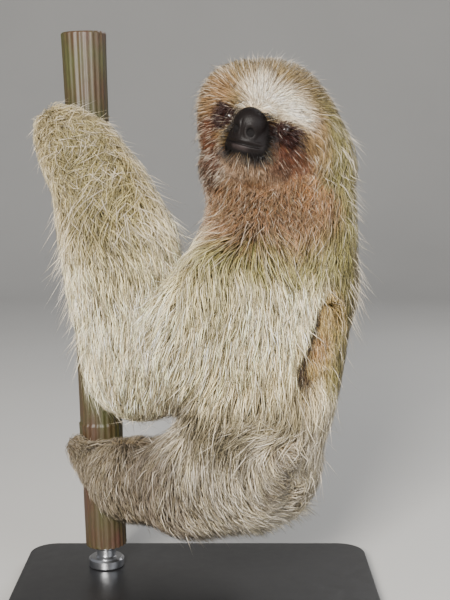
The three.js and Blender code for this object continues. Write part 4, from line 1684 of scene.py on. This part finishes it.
def build_rod():
    """The rod and its collar, with a chamfer on every edge and a groove under the stem."""
    low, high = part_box("stand_rod")
    centre = (low + high) / 2
    flange = (high.x - low.x) / 2
    collar = low.z + COLLAR_HEIGHT
    outline = [
        (0, low.z),
        (flange - CHAMFER, low.z),
        (flange, low.z + CHAMFER),
        (flange, collar - 2 * CHAMFER),
        (flange - 2 * CHAMFER, collar),
        (ROD_RADIUS + FILLET, collar),
        (ROD_RADIUS, collar + FILLET),
        (ROD_RADIUS, high.z - 0.004),
        (ROD_RADIUS - GROOVE_DEPTH, high.z - 0.0035),
        (ROD_RADIUS - GROOVE_DEPTH, high.z - 0.0025),
        (ROD_RADIUS, high.z - 0.002),
        (ROD_RADIUS, high.z - CHAMFER),
        (ROD_RADIUS - CHAMFER, high.z),
        (0, high.z),
    ]
    piece = lathe("rod", outline, (centre.x, centre.y), 96, steel_material())
    smooth_by_angle(piece, 35)
    return piece


BASE_CORNER = 0.026
BASE_BEVEL = 0.0018
CORNER_STEPS = 24


def base_outline(low, high):
    """The base's lower edge, a rectangle with round corners."""
    outline = []
    for sign_x, sign_y, begin in ((1, 1, 0), (-1, 1, 90), (-1, -1, 180), (1, -1, 270)):
        middle = Vector((sign_x * (high.x - BASE_CORNER), sign_y * (high.y - BASE_CORNER), low.z))
        for index in range(CORNER_STEPS + 1):
            turn = math.radians(begin + 90 * index / CORNER_STEPS)
            outline.append(middle + BASE_CORNER * Vector((math.cos(turn), math.sin(turn), 0)))
    return outline


def is_level(edge):
    """Whether an edge has both ends at one height."""
    return abs(edge.verts[0].co.z - edge.verts[1].co.z) < 1e-6


def build_base(settings):
    """The base: a plate with round corners and soft edges."""
    low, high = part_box("stand_base")
    work = bmesh.new()
    floor = work.faces.new([work.verts.new(place) for place in base_outline(low, high)])
    raised = bmesh.ops.extrude_face_region(work, geom=[floor])
    tops = [v for v in raised["geom"] if isinstance(v, bmesh.types.BMVert)]
    bmesh.ops.translate(work, verts=tops, vec=(0, 0, high.z - low.z))
    bmesh.ops.recalc_face_normals(work, faces=work.faces)
    rims = [edge for edge in work.edges if is_level(edge)]
    bmesh.ops.bevel(work, geom=rims, offset=BASE_BEVEL, segments=4, profile=0.5, affect="EDGES")
    lacquer = lacquer_material(tuple(settings.base_colour))
    piece = new_object("base", mesh_of(work, "base", lacquer))
    smooth_by_angle(piece, 30)
    return piece


# ------------------------------------------------------------------ stage

CAMERA_TARGET = Vector((0.027, 0.0, 0.282))
CAMERA_DISTANCE = 1.0
CAMERA_HEIGHT_ANGLE = math.radians(8)
VIEW_HEIGHT = 0.51
SENSOR_WIDTH = 36
SKY_COLOUR = (0.9, 0.93, 1, 1)
LAMP_TARGET = (0.02, 0, 0.28)
# Each lamp's place and size, in metres, and its colour.
LAMPS = {
    "key": ((-0.4, -1.7, 0.95), 0.5, (1, 0.97, 0.92)),
    "fill": ((1.4, -1.2, 0.8), 1.2, (0.93, 0.96, 1)),
    "rim": ((0.9, 1.0, 1.3), 0.8, (1, 1, 1)),
}


def aim(item, place, target):
    """Puts a lamp or camera at a place, looking at a target."""
    item.location = place
    item.rotation_euler = (Vector(target) - Vector(place)).to_track_quat("-Z", "Y").to_euler()


def add_light(name, place, size, power, colour):
    """A soft square lamp that shines on the model."""
    lamp = bpy.data.lights.new(name, "AREA")
    lamp.size = size
    lamp.energy = power
    lamp.color = colour
    aim(new_object(name, lamp), place, LAMP_TARGET)


# The backdrop, in metres: how near it starts, how far behind it stands, its bend, height and width.
BACKDROP_FRONT = -4.0
BACKDROP_BACK = 3.4
BACKDROP_BEND = 1.4
BACKDROP_TOP = 4.0
BACKDROP_WIDTH = 9.0
BEND_STEPS = 24


def build_floor(settings):
    """A floor that bends up into a backdrop."""
    material, tree = new_material("studio_floor", Roughness=0.9)
    add_colour(tree, tuple(settings.floor_colour), 3, EVEN, 0.04)
    bend = BACKDROP_BEND
    profile = [(BACKDROP_FRONT, 0.0), (BACKDROP_BACK - bend, 0.0)]
    for index in range(1, BEND_STEPS + 1):
        turn = math.pi / 2 * index / BEND_STEPS
        profile.append((BACKDROP_BACK - bend + bend * math.sin(turn), bend - bend * math.cos(turn)))
    profile.append((BACKDROP_BACK, BACKDROP_TOP))
    points = [(side * BACKDROP_WIDTH / 2, y, z) for y, z in profile for side in (-1, 1)]
    faces = [(2 * i, 2 * i + 1, 2 * i + 3, 2 * i + 2) for i in range(len(profile) - 1)]
    return new_object("floor", mesh_from("floor", points, faces, material))


def build_sky(strength):
    """An even, slightly blue light from all round."""
    world = bpy.data.worlds.new("studio")
    bpy.context.scene.world = world
    world.use_nodes = True
    sky = world.node_tree.nodes["Background"]
    sky.inputs["Color"].default_value = SKY_COLOUR
    sky.inputs["Strength"].default_value = strength


def build_camera():
    """A camera a little above the middle of the model, looking down at it."""
    camera = bpy.data.cameras.new("camera")
    camera.sensor_width = SENSOR_WIDTH
    camera.lens = camera.sensor_width / VIEW_HEIGHT * CAMERA_DISTANCE
    camera.clip_start = 0.01
    item = new_object("camera", camera)
    back = Vector((0, -math.cos(CAMERA_HEIGHT_ANGLE), math.sin(CAMERA_HEIGHT_ANGLE)))
    aim(item, CAMERA_TARGET + back * CAMERA_DISTANCE, CAMERA_TARGET)
    bpy.context.scene.camera = item


def build_stage(settings):
    """Floor, backdrop, lights and camera."""
    floor = build_floor(settings)
    for name, (place, size, colour) in LAMPS.items():
        add_light(name, place, size, getattr(settings, f"{name}_power"), colour)
    build_sky(settings.sky_strength)
    build_camera()


# ------------------------------------------------------------------ settings


class SlothCoatSettings(bpy.types.PropertyGroup):
    """Sizes of the skin and coat."""

    skin_cell: bpy.props.FloatProperty(
        name="Skin cell",
        description="Size of the skin's faces away from the head's front, in millimetres",
        default=3.2,
        min=2.5,
        max=8,
    )
    density: bpy.props.FloatProperty(
        name="Coat density",
        description="Tufts for each square millimetre of the body",
        default=0.245,
        min=0.01,
        max=0.4,
    )


class SlothStemSettings(bpy.types.PropertyGroup):
    """Look of the perch."""

    ribs: bpy.props.IntProperty(
        name="Ribs", description="Ribs round the stem", default=22, min=4, max=60
    )
    stem_green: bpy.props.FloatVectorProperty(
        name="Stem green",
        description="The stem's green",
        subtype="COLOR",
        default=tuple(srgb(56, 62, 28)),
    )
    stem_red: bpy.props.FloatVectorProperty(
        name="Sheath red-brown",
        description="The sheaths' red-brown",
        subtype="COLOR",
        default=tuple(srgb(64, 38, 28)),
    )


class SlothStageSettings(bpy.types.PropertyGroup):
    """Stand, floor and lights."""

    base_colour: bpy.props.FloatVectorProperty(
        name="Base colour",
        description="Lacquer of the stand's base",
        subtype="COLOR",
        default=tuple(srgb(30, 30, 31)),
    )
    floor_colour: bpy.props.FloatVectorProperty(
        name="Floor colour",
        description="Floor and backdrop",
        subtype="COLOR",
        default=tuple(srgb(172, 170, 166)),
    )
    key_power: bpy.props.FloatProperty(
        name="Key light", description="Main light's power", default=122, unit="POWER"
    )
    fill_power: bpy.props.FloatProperty(
        name="Fill light", description="Fill light's power", default=26, unit="POWER"
    )
    rim_power: bpy.props.FloatProperty(
        name="Rim light", description="Power of the light behind", default=16, unit="POWER"
    )
    sky_strength: bpy.props.FloatProperty(
        name="Sky", description="Strength of the even light all round", default=0.42
    )


# ------------------------------------------------------------------ operators


class SLOTH_OT_stage(bpy.types.Operator):
    """Adds the floor, backdrop, lights and camera"""

    bl_idname = "sloth.stage"
    bl_label = "Stage"

    def execute(self, context):
        build_stage(context.scene.sloth_stage)
        return {"FINISHED"}


class SLOTH_OT_skin(bpy.types.Operator):
    """Adds the one skin that stands for every part of the body"""

    bl_idname = "sloth.skin"
    bl_label = "Skin"

    def execute(self, context):
        skin = build_skin(context.scene.sloth_coat.skin_cell)
        finish_piece(skin, "body_coat", *PART_NAMES)
        return {"FINISHED"}


class SLOTH_OT_coat(bpy.types.Operator):
    """Adds the coat of tufts over the skin"""

    bl_idname = "sloth.coat"
    bl_label = "Coat"

    def execute(self, context):
        density = context.scene.sloth_coat.density
        for piece, slot in build_coat(bpy.data.objects["skin"], density):
            finish_piece(piece, slot)
        return {"FINISHED"}


class SLOTH_OT_eyes(bpy.types.Operator):
    """Adds both eyes"""

    bl_idname = "sloth.eyes"
    bl_label = "Eyes"

    def execute(self, context):
        material = eye_material()
        for side in SIDES:
            finish_piece(build_eye(side, material), "eye", f"eye_{side}")
        return {"FINISHED"}


class SLOTH_OT_claws(bpy.types.Operator):
    """Adds the claws of the hands and feet"""

    bl_idname = "sloth.claws"
    bl_label = "Claws"

    def execute(self, context):
        for piece, node in build_claws():
            finish_piece(piece, "claw", node)
        return {"FINISHED"}


class SLOTH_OT_perch(bpy.types.Operator):
    """Adds the length of stem"""

    bl_idname = "sloth.perch"
    bl_label = "Perch"

    def execute(self, context):
        finish_piece(build_perch(context.scene.sloth_stem), "stem", "perch")
        return {"FINISHED"}


class SLOTH_OT_stand(bpy.types.Operator):
    """Adds the display stand"""

    bl_idname = "sloth.stand"
    bl_label = "Stand"

    def execute(self, context):
        finish_piece(build_base(context.scene.sloth_stage), "base", "stand_base")
        finish_piece(build_rod(), "rod", "stand_rod")
        return {"FINISHED"}


class SLOTH_PT_panel(bpy.types.Panel):
    """Lists the sloth's pieces and their settings"""

    bl_idname = "SLOTH_PT_panel"
    bl_label = "Sloth"
    bl_space_type = "VIEW_3D"
    bl_region_type = "UI"
    bl_category = "Sloth"

    def draw(self, context):
        for settings in (
            context.scene.sloth_coat,
            context.scene.sloth_stem,
            context.scene.sloth_stage,
        ):
            for name in settings.__annotations__:
                self.layout.prop(settings, name)
        for operator in OPERATORS:
            self.layout.operator(operator.bl_idname)


SETTINGS = {
    "sloth_coat": SlothCoatSettings,
    "sloth_stem": SlothStemSettings,
    "sloth_stage": SlothStageSettings,
}
OPERATORS = [
    SLOTH_OT_stage,
    SLOTH_OT_skin,
    SLOTH_OT_eyes,
    SLOTH_OT_claws,
    SLOTH_OT_perch,
    SLOTH_OT_stand,
    SLOTH_OT_coat,
]


def register():
    """Registers the classes and the scene's settings."""
    for item in [*SETTINGS.values(), *OPERATORS, SLOTH_PT_panel]:
        bpy.utils.register_class(item)
    for name, settings in SETTINGS.items():
        setattr(bpy.types.Scene, name, bpy.props.PointerProperty(type=settings))


def unregister():
    """Takes the settings and classes away again."""
    for name in SETTINGS:
        delattr(bpy.types.Scene, name)
    for item in reversed([*SETTINGS.values(), *OPERATORS, SLOTH_PT_panel]):
        bpy.utils.unregister_class(item)


def main():
    """Builds everything."""
    register()
    for operator in OPERATORS:
        group, name = operator.bl_idname.split(".")
        getattr(getattr(bpy.ops, group), name)()


if __name__ == "__main__":
    main()
